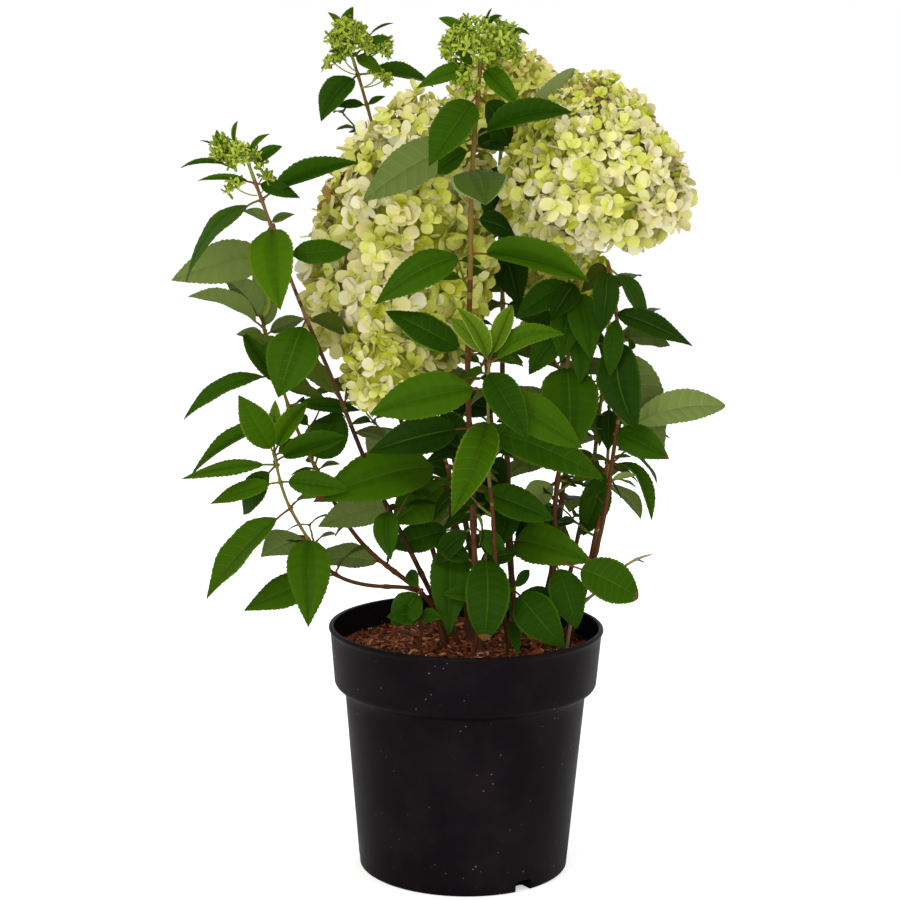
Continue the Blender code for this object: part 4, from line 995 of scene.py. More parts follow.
leafPlan = {
    "petiole": 0.15,  # the stalk's share of a leaf
    "crest": 0.45,
    "arch": 0.13,
    "root": 0.6,  # how far inside its stem a stalk starts
    "stalkRadius": 1.0,
    "stalkSlimness": 0.035,
    "veins": 9,
    "smallVeins": 5,
    "small": 40,  # a leaf shorter than this has fewer veins
    "veinRows": (0.035, 0.33, 0.67, 0.965),  # rows between two side veins
    "columns": (0.034, 0.32, 0.62, 0.9, 1.0),  # from the rib out to the margin
    "thickness": 0.36,
    "tooth": 0.85,
    "quilt": 0.95,
    "fold": 13.0,  # degrees each half lifts
    # what the words of a leaf's look change: its fold, its arch, its stalk, its bend to one side, and its
    # outline, as the powers of its width near its foot and near its tip
    "folds": {"folded": (44, 56), "pleated": (20, 30), "flat": (3, 7)},
    "arches": {"arched": 1.8, "straight": 0.5},
    "petioles": {"seated": 0.02, "stalked": 0.34},
    "bows": {"bowedLeft": 0.1, "bowedRight": -0.1},
    "outlines": {"round": (0.5, 0.62), "oval": (0.55, 0.56), "blunt": (0.8, 0.6)},
    "gloss": 0.03,
    "rough": (0.5, 0.7),  # above and below
    # the shades of each tone, dealt out leaf by leaf
    "shades": (0.85, 1.0, 1.15),
    "tones": {
        # deep and dark are tones leaves take at random, and also painted shade for the leaves inside the
        # bush and under the blooms
        "deep": (0.012, 0.037, 0.001),
        "dark": (0.020, 0.061, 0.001),
        "mid": (0.032, 0.086, 0.001),
        "fresh": (0.046, 0.110, 0.001),
        "lime": (0.110, 0.190, 0.008),
        "greyTop": (0.055, 0.092, 0.012),
        "silver": (0.20, 0.25, 0.08),
        "rim": (0.085, 0.155, 0.004),
        "deepUnder": (0.070, 0.098, 0.010),
        "greyUnder": (0.140, 0.190, 0.044),
        "paleUnder": (0.195, 0.250, 0.062),
        "limeUnder": (0.23, 0.31, 0.045),
        "rib": (0.052, 0.108, 0.006),
        "brown": (0.13, 0.062, 0.018),
        "stalkRed": (0.165, 0.066, 0.020),
        "stalkGreen": (0.13, 0.165, 0.026),
    },
    # the tone of a blade's margin, for each tone above
    "paler": {"deep": "dark", "dark": "mid", "mid": "fresh", "fresh": "rim", "lime": "limeUnder"},
    # the shade of the rib on each darker tone
    "ribs": {"deep": 0, "dark": 0, "mid": 1},
}
leafTone = {}


# Makes the leaf surfaces: every tone in three shades, semi-gloss above and matt below.
def makeLeafSurfaces():
    made = []
    for name, colour in leafPlan["tones"].items():
        below = "Under" in name or name == "silver"
        for k, shade in enumerate(leafPlan["shades"]):
            shade = 1 + (shade - 1) * (0.55 if below else 1.0)
            leafTone[name, k] = len(made)
            warmth = (1 + 0.06 * (k - 1), 1, 1)
            tint = [min(1.0, c * shade * warm) for c, warm in zip(colour, warmth)]
            made.append(surface(f"{name}{k}", tint, leafPlan["rough"][below], leafPlan["gloss"]))
    return made


# What a table gives for the first of its words in a leaf's look.
def wordOf(look, table, usual=None):
    return next((value for word, value in table.items() if word in look), usual)


# Everything that shapes one leaf, worked out from its plan and its node.
def leafFacts(node, plan, seed, rng):
    p = leafPlan
    reach = np.array(plan["reach"], float)
    length = np.linalg.norm(reach)
    chord = reach / length
    face = plan["face"]
    if face is None:
        middle = node + reach * 0.6
        face = unit(np.array((middle[0], middle[1], 0.0))) + np.array((0, 0, 0.9))
    face = np.array(face, float)
    facing = unit(face - face.dot(chord) * chord)
    look = plan["look"].split()
    fold = math.radians(p["fold"]) * rng.uniform(0.6, 1.35)
    lifted = wordOf(look, p["folds"])
    if lifted:
        fold = math.radians(rng.uniform(*lifted))
    usual = random.Random(seed).uniform(0.4, 0.48)
    half = length * (1 - p["petiole"]) * (plan["broad"] or usual) / 2
    half /= max(0.62, math.cos(fold)) if "folded" in look else 1.0
    tones = [word for word in look if word in p["tones"]]
    tops = [tone for tone in tones if not tone.endswith("Under")]
    unders = [tone for tone in tones if tone.endswith("Under")]
    top = tops[0] if tops else str(rng.choice(["deep", "dark", "dark", "mid"]))
    shape = wordOf(look, p["outlines"], (rng.uniform(0.66, 0.77), rng.uniform(0.8, 0.95)))
    arch = p["arch"] * wordOf(look, p["arches"], 1.0)
    curled = "curled" in look
    shade, worn = rng.integers(0, 3), rng.random() < 0.1
    greens = ["limeUnder"] if top == "lime" else ["deepUnder", "greyUnder"]
    under = unders[0] if unders else rng.choice(greens)
    return {
        "start": node - chord * p["root"],
        "crest": node + reach * p["crest"] + facing * (arch * length * 2),
        "end": node + reach,
        "side": np.cross(chord, facing),
        "petiole": wordOf(look, p["petioles"], p["petiole"]),
        "foot": shape[0],
        "point": shape[1],
        "length": length,
        "half": half,
        "fold": fold,
        "curl": rng.uniform(0.5, 1.5) * (2.6 if curled else 1.0),
        "pleat": 1.9 if "pleated" in look else rng.uniform(0.7, 1.3),
        "twist": rng.normal(0, 0.16) * (2.2 if curled else 1.0),
        "bend": rng.normal(0, 0.022) + wordOf(look, p["bows"], 0.0),
        "droop": rng.uniform(0.0, 0.05),
        "wave": rng.uniform(0.02, 0.075),
        "phase": rng.uniform(0, 6.28),
        "waves": rng.uniform(1.4, 2.6),
        "top": leafTone[top, shade],
        # the darkest shade of its tone, the floor of the painted shade along the rib
        "shade": leafTone[top, 0],
        "veinTop": leafTone[top, 2],
        "edge": leafTone["lime", 0] if "edged" in look else leafTone[p["paler"].get(top, "silver"), 1],
        "under": leafTone[under, rng.integers(0, 2)],
        "rib": leafTone["rib", p["ribs"].get(top, 2)],
        "vein": leafTone[under, 2],
        "brown": leafTone["brown", rng.integers(0, 3)] if "tipped" in look or (worn and not look) else -1,
        "stalk": leafTone[rng.choice(["stalkRed", "stalkRed", "stalkGreen"]), rng.integers(0, 3)],
    }


# Blades as double-sided grids. Rows a follow the side veins, so a point b across sits at
#   u = a + 0.3·|b|^1.2·a^0.6·(1-a) of the blade's length, where the half width is
#   half·u^foot·(1-u)^point·(1-0.3u⁵), over the value of u^foot·(1-u)^point at its widest.
# Its height off the blade's plane is |b|·width·sin(fold), less curl·|b|³, plus pillows sin(π·share between
# veins) and a slow wave at the margin. The plane rides the arch of the leaf and twists towards the tip.
def growBlades(facts, veins):
    p = leafPlan
    n = len(facts)
    get = {k: np.array([one[k] for one in facts]) for k in facts[0]}
    col = {k: get[k].reshape(-1, 1, 1) for k in get if get[k].ndim == 1}
    outer = np.array(p["columns"])
    b = np.concatenate([-outer[::-1], [0.0], outer])
    beside = np.abs(b)
    share = np.tile(np.array(p["veinRows"]), veins)
    a = (np.repeat(np.arange(veins), len(p["veinRows"])) + share)[:, None] / veins
    u = a + 0.3 * beside**1.2 * a**0.6 * (1 - a)
    u = np.concatenate([np.zeros((1, len(b))), u, np.ones((1, len(b)))])
    share = np.concatenate([[0.0], share, [0.0]])[:, None]
    foot, point = col["foot"], col["point"]
    widest = foot / (foot + point)
    width = u**foot * (1 - u) ** point / (widest**foot * (1 - widest) ** point) * (1 - 0.3 * u**5)
    tooth = np.where(np.arange(len(u)) % 2 == 0, 0.5, -0.55)[:, None]
    tooth = tooth * (beside == 1) * np.minimum(1, 8 * u * (1 - u))
    size = np.minimum(1.0, col["length"] / 80)
    w = col["half"] * width + tooth * p["tooth"] * size
    fold = col["fold"] * (1 - 0.3 * u)
    x = b * w * np.cos(fold)
    z = beside * w * np.sin(fold) - 0.11 * col["curl"] * w * beside**3
    pillow = p["quilt"] * col["pleat"] * size
    pillow = pillow * np.sin(np.pi * share) * beside**0.5 * (1 - 0.8 * beside**4)
    z = z + pillow * np.minimum(1, 6 * u * (1 - u))
    z = z + col["wave"] * w * beside**1.6 * np.sin(6.28 * col["waves"] * u + col["phase"] + 1.3 * np.sign(b))
    z = z - 0.25 * (beside == 0)
    s = (col["petiole"] + (1 - col["petiole"]) * u)[..., None]
    line, along = bentLine(s, *(get[k][:, None, None] for k in ("start", "crest", "end")))
    side = np.broadcast_to(get["side"][:, None, None], along.shape)
    facing = np.cross(side, along)
    tilt = (col["twist"] * u)[..., None]
    side, facing = side * np.cos(tilt) + facing * np.sin(tilt), facing * np.cos(tilt) - side * np.sin(tilt)
    line = line + side * (col["bend"] * col["length"] * 4 * u * (1 - u))[..., None]
    line = line - upward * (col["droop"] * col["length"] * u**2.2)[..., None]
    top = line + side * x[..., None] + facing * z[..., None]
    veined = (share < 0.1) | (share > 0.9)
    ridge = 0.28 * veined * (1 - beside**2) * (beside > 0) + (beside == 0) * (1.0 - 0.75 * u)
    ridge = ridge + (beside == outer[0]) * 0.3
    under = top - facing * (p["thickness"] + ridge * np.minimum(1.0, col["length"] / 70))[..., None]
    rows, columns, mid = len(a), len(b), len(outer)
    points = [top[:, :1, mid], top[:, -1:, mid]]
    points += [top[:, 1:-1].reshape(n, -1, 3), under[:, 1:-1, 1:-1].reshape(n, -1, 3)]
    middle = np.abs((b[1:] + b[:-1]) / 2)
    row = np.arange(rows - 1)[:, None]
    ribCell = (middle < 0.03) & (row < 0.93 * rows)
    strip = (row % 4 == 3) & (middle < 0.9)
    dry = (row >= 0.9 * rows) & (col["brown"] >= 0)
    # painted shade: a shade darker along the rib, where the folded blade's hollow lies in shade
    tone = np.maximum(col["top"] - (middle < 0.25), col["shade"]) + 0 * ribCell[None]
    tone = np.where(strip, col["veinTop"], tone)
    tone = np.where(ribCell, col["rib"], tone)
    tone = np.where(middle > 0.92, col["edge"], tone)
    tone = np.where(dry, col["brown"], tone)
    toneUnder = np.where(dry, col["brown"], np.where(strip | ribCell, col["vein"], col["under"]))
    tipTone = np.where(get["brown"] >= 0, get["brown"], get["top"])[:, None]
    above, below = sheetIds(rows, columns)
    upper, upperFoot, upperEnd = sheetFaces(above)
    lower, lowerFoot, lowerEnd = sheetFaces(below, True)
    groups = [(upper, tone.reshape(n, -1)), (lower, toneUnder.reshape(n, -1))]
    groups += [(upperFoot, get["rib"][:, None]), (upperEnd, tipTone)]
    groups += [(lowerFoot, get["vein"][:, None]), (lowerEnd, tipTone)]
    grid = np.stack(np.broadcast_arrays(b / 2 + 0.5, u[1:-1]), -1)
    maps = np.concatenate([[(0.5, 0.0), (0.5, 1.0)], grid.reshape(-1, 2), grid[:, 1:-1].reshape(-1, 2)])
    return batch(np.concatenate(points, axis=1) * mm, groups, maps)


# The stalks: tapering tubes along the first part of each leaf's arch, from inside the stem to under the
# blade.
def growStalks(facts):
    get = {k: np.array([one[k] for one in facts]) for k in facts[0]}
    s = (-0.02 + (get["petiole"][:, None] * 1.3 + 0.02) * np.linspace(0, 1, 7))[..., None]
    line, along = bentLine(s, *(get[k][:, None] for k in ("start", "crest", "end")))
    facing = np.cross(np.broadcast_to(get["side"][:, None], along.shape), along)
    line = line - facing * np.array([0, 0, 0, 0, 0.1, 0.5, 0.8])[None, :, None]
    thick = np.minimum(leafPlan["stalkRadius"], leafPlan["stalkSlimness"] * get["length"])[:, None]
    return tubes(line, thick * np.array([1.5, 1.1, 0.9, 0.85, 0.85, 0.8, 0.45]), 6, get["stalk"])


# Every leaf of one cane or shoot.
def leavesOf(plan, number, rng):
    line = Line(plan)
    found = []
    for row, (along, *leaves) in enumerate(plan["pairs"]):
        for column, one in enumerate(leaves):
            if (row, column) in plan.get("absent", ()):
                continue
            turn = plan.get("turned", {}).get((row, column), 0)
            grown = {**one, "reach": turned(one["reach"], turn)}
            found.append(leafFacts(line.at(along), grown, 1000 * number + 10 * row + column, rng))
    return found


# A side shoot: a thin curved stem from its cane with small opposite leaves and a pair at its tip.
def sideShoot(line, plan, rng):
    along, length, heading, size, count = plan
    share = np.linspace(0, 1, 14)[:, None]
    path = line.at(along) + np.array(turned((1, 0, 0), heading)) * length * share
    path = path + upward * (length * 0.75 * share**1.4)
    path = path + rng.normal(0, 0.25, path.shape) * share
    found = []
    for k in range(count):
        at = (k + 1) / count
        node = path[int(round(at * 13))]
        for side in (-1, 1):
            aim = turned((1, 0, 0), heading + side * (62 - 14 * at) + 88 * (k % 2) * side * 0.3)
            scale = size * (1.15 - 0.4 * at) * rng.uniform(0.85, 1.15)
            reach = (aim[0] * scale, aim[1] * scale, scale * rng.uniform(-0.35, 0.35))
            found.append(leafFacts(node, leaf(*reach, look="mid" if at > 0.9 else ""), 77 + k, rng))
    return path, found


def makeLeaves():
    rng = np.random.default_rng(9)
    homes = {
        "leavesLeft": ("left_tall", "left_low", "left_trailing", "bloom_left"),
        "leavesMiddle": (
            "centre_front", "fresh_front", "basal_front", "basal_middle", "basal_left", "centre_back",
        ),
        "leavesRight": ("bloom_right", "right_tall", "right_short", "basal_right", "far_right"),
        "leavesBack": ("back_tall", "back_left", "back_right", "back_middle"),
    }
    groups = {home: [] for home in homes}
    shoots, stalks = [], []
    for number, (name, plan) in enumerate({**canes, **basalShoots}.items()):
        group = groups[next(home for home, members in homes.items() if name in members)]
        group += leavesOf(plan, number, rng)
        for row in sideShoots.get(name, ()):
            path, found = sideShoot(Line(plan), row, rng)
            shoots.append(path)
            group += found
    for home, found in groups.items():
        large = [one for one in found if one["length"] >= leafPlan["small"]]
        small = [one for one in found if one["length"] < leafPlan["small"]]
        sizes = ((large, leafPlan["veins"]), (small, leafPlan["smallVeins"]))
        batches = [growBlades(some, veins) for some, veins in sizes if some]
        stands = [("shoot_" if name in canes else "") + name for name in homes[home]]
        makePiece(home, batches, leafSurfaces, stands, 42)
        stalks.append(growStalks(found))
    radii = np.linspace(1.25, 0.7, 14) * np.ones((len(shoots), 1))
    side = tubes(shoots, radii, 7, leafTone["stalkGreen", 1])
    makePiece("leafStalks", [*stalks, side], leafSurfaces, crease=70)
    print("leaves:", sum(len(found) for found in groups.values()))


leafSurfaces = makeLeafSurfaces()
makeLeaves()


bloomPlan = {
    "belly": 0.33,
    "apexCurve": 1.9,
    "baseCurve": 2.6,
    "bareBase": 0.04,
    "core": 0.8,
    "coreRings": 15,
    "coreSides": 24,
    "coreLumps": 0.07,
    "outerDepth": 0.955,
    "innerDepth": 0.87,
    "stalk": 0.45,
    "rows": (0.15, 0.36, 0.66, 0.9),
    "columns": 5,
    "broad": 0.42,  # half a petal's width to its length
    "widest": 0.596,  # where along a petal
    "petalCurve": (0.68, 0.46),  # the powers of its width near its foot and near its tip
    "cup": 0.24,
    "thickness": 0.22,
    "tones": {
        "white": (0.83, 0.785, 0.50),
        "cream": (0.80, 0.76, 0.34),
        "creamWarm": (0.79, 0.71, 0.33),
        "limePale": (0.72, 0.72, 0.19),
        "lime": (0.61, 0.635, 0.10),
        "limeDeep": (0.52, 0.55, 0.04),
        "blush": (0.78, 0.70, 0.44),
        "beige": (0.60, 0.52, 0.17),
        "brown": (0.42, 0.27, 0.09),
        # painted light: the core's bright lime stands in for light coming through the petals, seen in the
        # gaps
        "core": (0.50, 0.52, 0.05),
        "stalk": (0.30, 0.36, 0.10),
    },
    # a petal's colour towards the middle of its floret, also painted over its whole underside as painted
    # shade
    "hearts": {
        "white": "cream",
        "cream": "limePale",
        "creamWarm": "limePale",
        "limePale": "lime",
        "lime": "limeDeep",
        "blush": "creamWarm",
        "beige": "brown",
    },
    # what each head holds: florets outside and inside, petal length low down and at the apex, the share of
    # its height where they turn smaller, and how far that zone leans down on the left
    "heads": {
        "bloom_left": {"florets": 480, "inner": 170, "size": (15.4, 10.6), "smallFrom": 0.4},
        "bloom_right": {"florets": 520, "inner": 170, "size": (14.0, 5.6), "smallFrom": 0.36, "lean": 0.13},
        "centre_back": {"florets": 210, "inner": 60, "size": (10.5, 7.0), "smallFrom": 0.55},
        "side": {"florets": 88, "inner": 24, "size": (11.6, 8.5), "smallFrom": 0.5},
        "back_right": {"florets": 160, "inner": 50, "size": (10.5, 8.0), "smallFrom": 0.5},
    },
    "pieces": {
        "bloomLeft": ("bloom_left",),
        "bloomRight": ("bloom_right",),
        "bloomsSmall": ("centre_back", "side", "back_right"),
    },
}
bloomTone = {name: k for k, name in enumerate(bloomPlan["tones"])}


# The radius of a head, from 0 to 1, at a share of its height: (1 - away^curve)^(1/curve), where away goes
# from 0 at its belly to 1 at either end.
def eggRadius(share, apexCurve, belly):
    low = share < belly
    away = np.where(low, (belly - share) / belly, (share - belly) / (1 - belly))
    curve = np.where(low, bloomPlan["baseCurve"], apexCurve)
    return np.maximum(0.0, 1 - np.clip(away, 0, 1) ** curve) ** (1 / curve)


# The egg-shaped space of a bloom: places and outward directions on it, for whole arrays at once.
class Head:
    def __init__(self, plan):
        self.base, self.apex = np.array(plan["base"], float), np.array(plan["apex"], float)
        self.axis = self.apex - self.base
        up = unit(self.axis)
        self.right = unit(np.array((1.0, 0, 0)) - up * up[0])
        self.ahead = np.cross(up, self.right)
        self.radius, self.depth = plan["radius"], plan["depth"]
        self.curve = plan.get("apexCurve", bloomPlan["apexCurve"])
        self.belly = plan.get("belly", bloomPlan["belly"])

    # base + axis·share + radius·eggRadius·(right·cos turn + ahead·depth·sin turn), grown about the belly.
    def at(self, share, turn, grown=1.0):
        share, turn, grown = np.broadcast_arrays(share, turn, grown)
        flat = self.right * np.cos(turn)[..., None] + self.ahead * (np.sin(turn) * self.depth)[..., None]
        along = self.belly + (share - self.belly) * grown
        wide = self.radius * eggRadius(share, self.curve, self.belly) * grown
        return self.base + self.axis * along[..., None] + flat * wide[..., None]

    def outward(self, share, turn):
        step = 0.01
        along = self.at(np.clip(share + step, 0, 1), turn) - self.at(np.clip(share - step, 0, 1), turn)
        across = self.at(share, turn + step) - self.at(share, turn - step)
        return unit(np.cross(across, along))

    # Evenly spread places: equal steps of area from base to apex, closer where florets are small, turned by
    # the golden angle.
    def spread(self, count, sizeAt):
        share = np.linspace(0, 1, 401)
        radius = eggRadius(share, self.curve, self.belly) * self.radius
        slant = np.hypot(np.linalg.norm(self.axis) / 400, np.diff(radius))
        crowd = (sizeAt(0.0) / sizeAt(share[1:])) ** 1.7
        area = np.concatenate([[0.0], np.cumsum((radius[1:] + radius[:-1]) * slant * crowd)])
        bare = bloomPlan["bareBase"]
        wanted = area[-1] * (bare + (1 - bare) * (np.arange(count) + 0.5) / count)
        return np.interp(wanted, area, share), np.arange(count) * goldenAngle


# Florets: four rounded petals that overlap, two of them above the other two. Petal row u, column b:
#   half width = broad·u^0.68·(1-u)^0.46 over its value where the petal is widest,
#   height = cup·u^1.8 + hollow·b²·width/2 + 0.05·(1-b²)·u, less a little at the very tip.
# Each petal is double-sided, with its margins and its two poles closed.
def growFlorets(centres, outward, sizes, tones, hearts, rng, slim=1.0):
    p = bloomPlan
    n = len(centres)
    guide = np.where(np.abs(outward[:, 2:]) > 0.9, (1.0, 0, 0), (0, 0, 1.0))
    first = unit(np.cross(outward, guide))
    second = np.cross(outward, first)
    quarter = np.arange(4) * np.pi / 2
    turn = rng.uniform(0, np.pi / 2, (n, 1)) + quarter + rng.normal(0, 0.1, (n, 4))
    away = first[:, None] * np.cos(turn)[..., None] + second[:, None] * np.sin(turn)[..., None]
    lift = np.broadcast_to(outward[:, None], away.shape)
    side = np.cross(lift, away)
    # each petal tips up or down a little and rolls about its own length
    tip = rng.normal(0.1, 0.36, (n, 4, 1))
    away, lift = away * np.cos(tip) + lift * np.sin(tip), lift * np.cos(tip) - away * np.sin(tip)
    roll = rng.normal(0, 0.34, (n, 4, 1))
    side, lift = side * np.cos(roll) + lift * np.sin(roll), lift * np.cos(roll) - side * np.sin(roll)
    long = sizes[:, None] * rng.uniform(0.86, 1.08, (n, 4))
    u = np.array(p["rows"])[:, None]
    b = np.linspace(-1, 1, p["columns"])
    low, high = p["petalCurve"]
    width = u**low * (1 - u) ** high / (p["widest"] ** low * (1 - p["widest"]) ** high)
    broad = slim * p["broad"] * rng.uniform(0.88, 1.14, (n, 4))
    x = (long * broad)[..., None, None] * (width * b)
    y = long[..., None, None] * (u + 0.03 * b**2 * u) + 0 * x
    hollow = rng.normal(0.12, 0.12, (n, 4))[..., None, None]
    cup = (p["cup"] + rng.normal(0, 0.1, (n, 4)))[..., None, None]
    tall = cup * u**1.8 + hollow * width * b**2 * 0.5 - 0.1 * np.clip(u - 0.7, 0, 1) + 0.05 * (1 - b**2) * u
    above = (0.05 * sizes)[:, None, None, None] * (np.arange(4) % 2)[:, None, None]
    z = long[..., None, None] * tall + above
    side, away, lift = (one[:, :, None, None] for one in (side, away, lift))

    def place(x, y, z):
        spot = centres[:, None, None, None] + side * x[..., None]
        return spot + away * y[..., None] + lift * z[..., None]

    top, under = place(x, y, z), place(x, y, z - p["thickness"])[..., 1:-1, :]
    foot, end = np.repeat(centres, 4, axis=0), place(0 * x, y / u, z)[..., -1:, 2:3, :]
    points = np.concatenate([part.reshape(4 * n, -1, 3) for part in (foot, end, top, under)], axis=1)
    # side = outward × away, so columns run the other way round from a leaf's
    over, below = sheetIds(len(u), len(b))
    (upper, *upperCaps), (lower, *lowerCaps) = sheetFaces(over, True), sheetFaces(below)
    caps = np.concatenate(upperCaps + lowerCaps)
    outer, heart = np.repeat(tones, 4)[:, None], np.repeat(hearts, 4)[:, None]
    inmost = np.arange(len(upper)) < len(b) - 1
    atFoot = np.arange(len(caps)) // (len(b) - 1) % 2 == 0
    # painted shade: a petal's underside takes its heart's greener tone, for the shade it lies in
    groups = [(upper, np.where(inmost, heart, outer)), (lower, heart)]
    groups.append((caps, np.where(atFoot, heart, outer)))
    beads = balls(centres + outward * 0.06 * sizes[:, None], 0.12 * sizes, hearts, 1, 5)
    return [batch(points * mm, groups), beads]


# The tone of each floret, drawn from weights that depend on where it sits on its head: high or low, and how
# far left it faces.
def floretTones(name, head, share, turn, high, deep, rng):
    left = -head.outward(share, turn)[:, 0]
    rim = np.clip(0.42 - high, 0, 1) * 3
    weights = {
        "bloom_left": {
            "white": 0.8 + 1.4 * left * (high > 0.2),
            "cream": 0.9 + 0.5 * left,
            "creamWarm": 0.1 + 0.8 * high,
            "blush": 0.3 * left * (high > 0.6),
            "limePale": 1.0 - 0.5 * left,
            "lime": 0.6 - 0.4 * left - 0.8 * (high - 0.3),
            "brown": 2.5 * (left > 0.86) * (high > 0.5) * (high < 0.72),
        },
        "bloom_right": {
            "white": 0.9 + 1.5 * rim - 0.4 * left,
            "cream": 0.5 + 1.2 * rim,
            "blush": 0.15 - 0.7 * left * (high < 0.75),
            "limePale": 0.8 + 0.5 * left,
            "lime": 0.7 * (high > 0.45) - 0.6 * rim + 0.2 * left,
            "beige": 5.0 * (high - 0.78),
            "brown": 4.0 * (high - 0.88),
        },
        "centre_back": {"beige": 0.2, "limePale": 0.7, "creamWarm": 1.1, "cream": 0.3},
        "side": {"cream": 0.9, "limePale": 0.8, "lime": 0.5, "white": 0.2},
        "back_right": {"lime": 0.8, "limePale": 0.7, "limeDeep": 0.5, "cream": 0.2},
    }[name]
    weight = np.zeros((len(share), len(bloomTone)))
    for tone, amount in weights.items():
        weight[:, bloomTone[tone]] += np.clip(amount, 0, None)
    if deep:  # painted shade: the inner florets, seen only in the gaps between the outer ones, take greener, deeper tones
        weight[:, bloomTone["lime"]] += 1.2
        weight[:, bloomTone["limeDeep"]] += 1.6
    weight = weight / weight.sum(axis=1, keepdims=True)
    pick = rng.random(len(share))[:, None]
    return (weight.cumsum(axis=1) < pick).sum(axis=1)


# One panicle: a lumpy core, branches up through it, and florets on their stalks outside and just inside.
def panicle(name, plan, root, heading, rootRadius, rng):
    p = bloomPlan
    head, holds = Head(plan), p["heads"][name]
    rings, sides = p["coreRings"], p["coreSides"]
    lift = np.linspace(0.0, 1.0, rings + 2)[1:-1]
    lump = 1 + p["coreLumps"] * rng.normal(0, 1, (rings, sides))
    skin = head.at(lift[:, None], turnsOf(sides), p["core"] * lump) * mm
    poles = head.at(np.array([0.0, 1.0]), 0.0, p["core"]) * mm
    # the core is the packed middle of the panicle; its bright lime is painted light, the glow through the
    # petals in the gaps
    coreTone = rng.choice([bloomTone["core"], bloomTone["core"], bloomTone["limeDeep"]], (rings - 1) * sides)
    batches = [closedTube(poles[None, :1], skin[None], poles[None, 1:], coreTone, bloomTone["core"])]
    share = np.linspace(0, 1, 12)
    branch = bentLine(share[:, None], root, root + heading * 14, head.base + head.axis * 0.25)[0]
    slim = np.linspace(rootRadius, rootRadius * 0.7, len(share))
    batches.append(tubes([branch], [slim], 9, bloomTone["stalk"]))
    low, high, turnIn = *holds["size"], holds["smallFrom"]

    def sizeAt(share):
        return low + (high - low) * np.clip((share - turnIn) / (1 - turnIn), 0, 1)

    layers = ((holds["florets"], p["outerDepth"], 0.06), (holds["inner"], p["innerDepth"], 0.04))
    for count, depth, jitter in layers:
        share, turn = head.spread(count, sizeAt)
        turn = turn + rng.normal(0, 0.06, count)
        share = np.clip(share + rng.normal(0, 0.012, count), 0.01, 0.985)
        ripe = np.clip(share - holds.get("lean", 0) * np.cos(turn), 0, 1)
        size = sizeAt(ripe) * rng.uniform(0.8, 1.12, count)
        lumps = 0.025 * np.sin(5 * turn + 9 * share) + 0.02 * np.sin(3 * turn - 14 * share + 2)
        grown = depth + lumps + rng.uniform(-jitter, jitter * 0.8, count)
        grown = grown - (size / head.radius) * 0.12
        place = head.at(share, turn, grown)
        out = head.outward(share, turn)
        aim = unit(out + rng.normal(0, 0.55, out.shape) + np.array((0, 0, 0.12)))
        tones = floretTones(name, head, share, turn, ripe, depth == p["innerDepth"], rng)
        hearts = np.array([bloomTone[p["hearts"].get(tone, tone)] for tone in p["tones"]])[tones]
        batches += growFlorets(place, aim, size, tones, hearts, rng)
        inside = head.at(share * 0.9 + 0.03, turn, p["core"] * 0.92)
        steps = np.linspace(0, 1, 3)[:, None]
        lines = inside[:, None] * (1 - steps) + place[:, None] * steps
        batches.append(tubes(lines, np.full((count, 3), p["stalk"]), 3, bloomTone["stalk"]))
    return batches


def makeBlooms():
    rng = np.random.default_rng(17)
    surfaces = [surface(name, colour, 0.75, 0.05) for name, colour in bloomPlan["tones"].items()]
    for home, members in bloomPlan["pieces"].items():
        batches = []
        for name in members:
            plan = canes["bloom_left" if name == "side" else name]
            line = Line(plan)
            shape, root, heading, thick = plan["bloom"], line.tip, line.heading(1.0), plan["radius"][1]
            if name == "side":
                shape = plan["sideBloom"]
                root, thick = line.at(shape["along"]), 1.5
                heading = unit(np.array(shape["base"], float) - root)
            batches += panicle(name, shape, root, heading, thick, rng)
        makePiece(home, batches, surfaces, ["flower_" + name for name in members], 60)


makeBlooms()
print("blooms made")


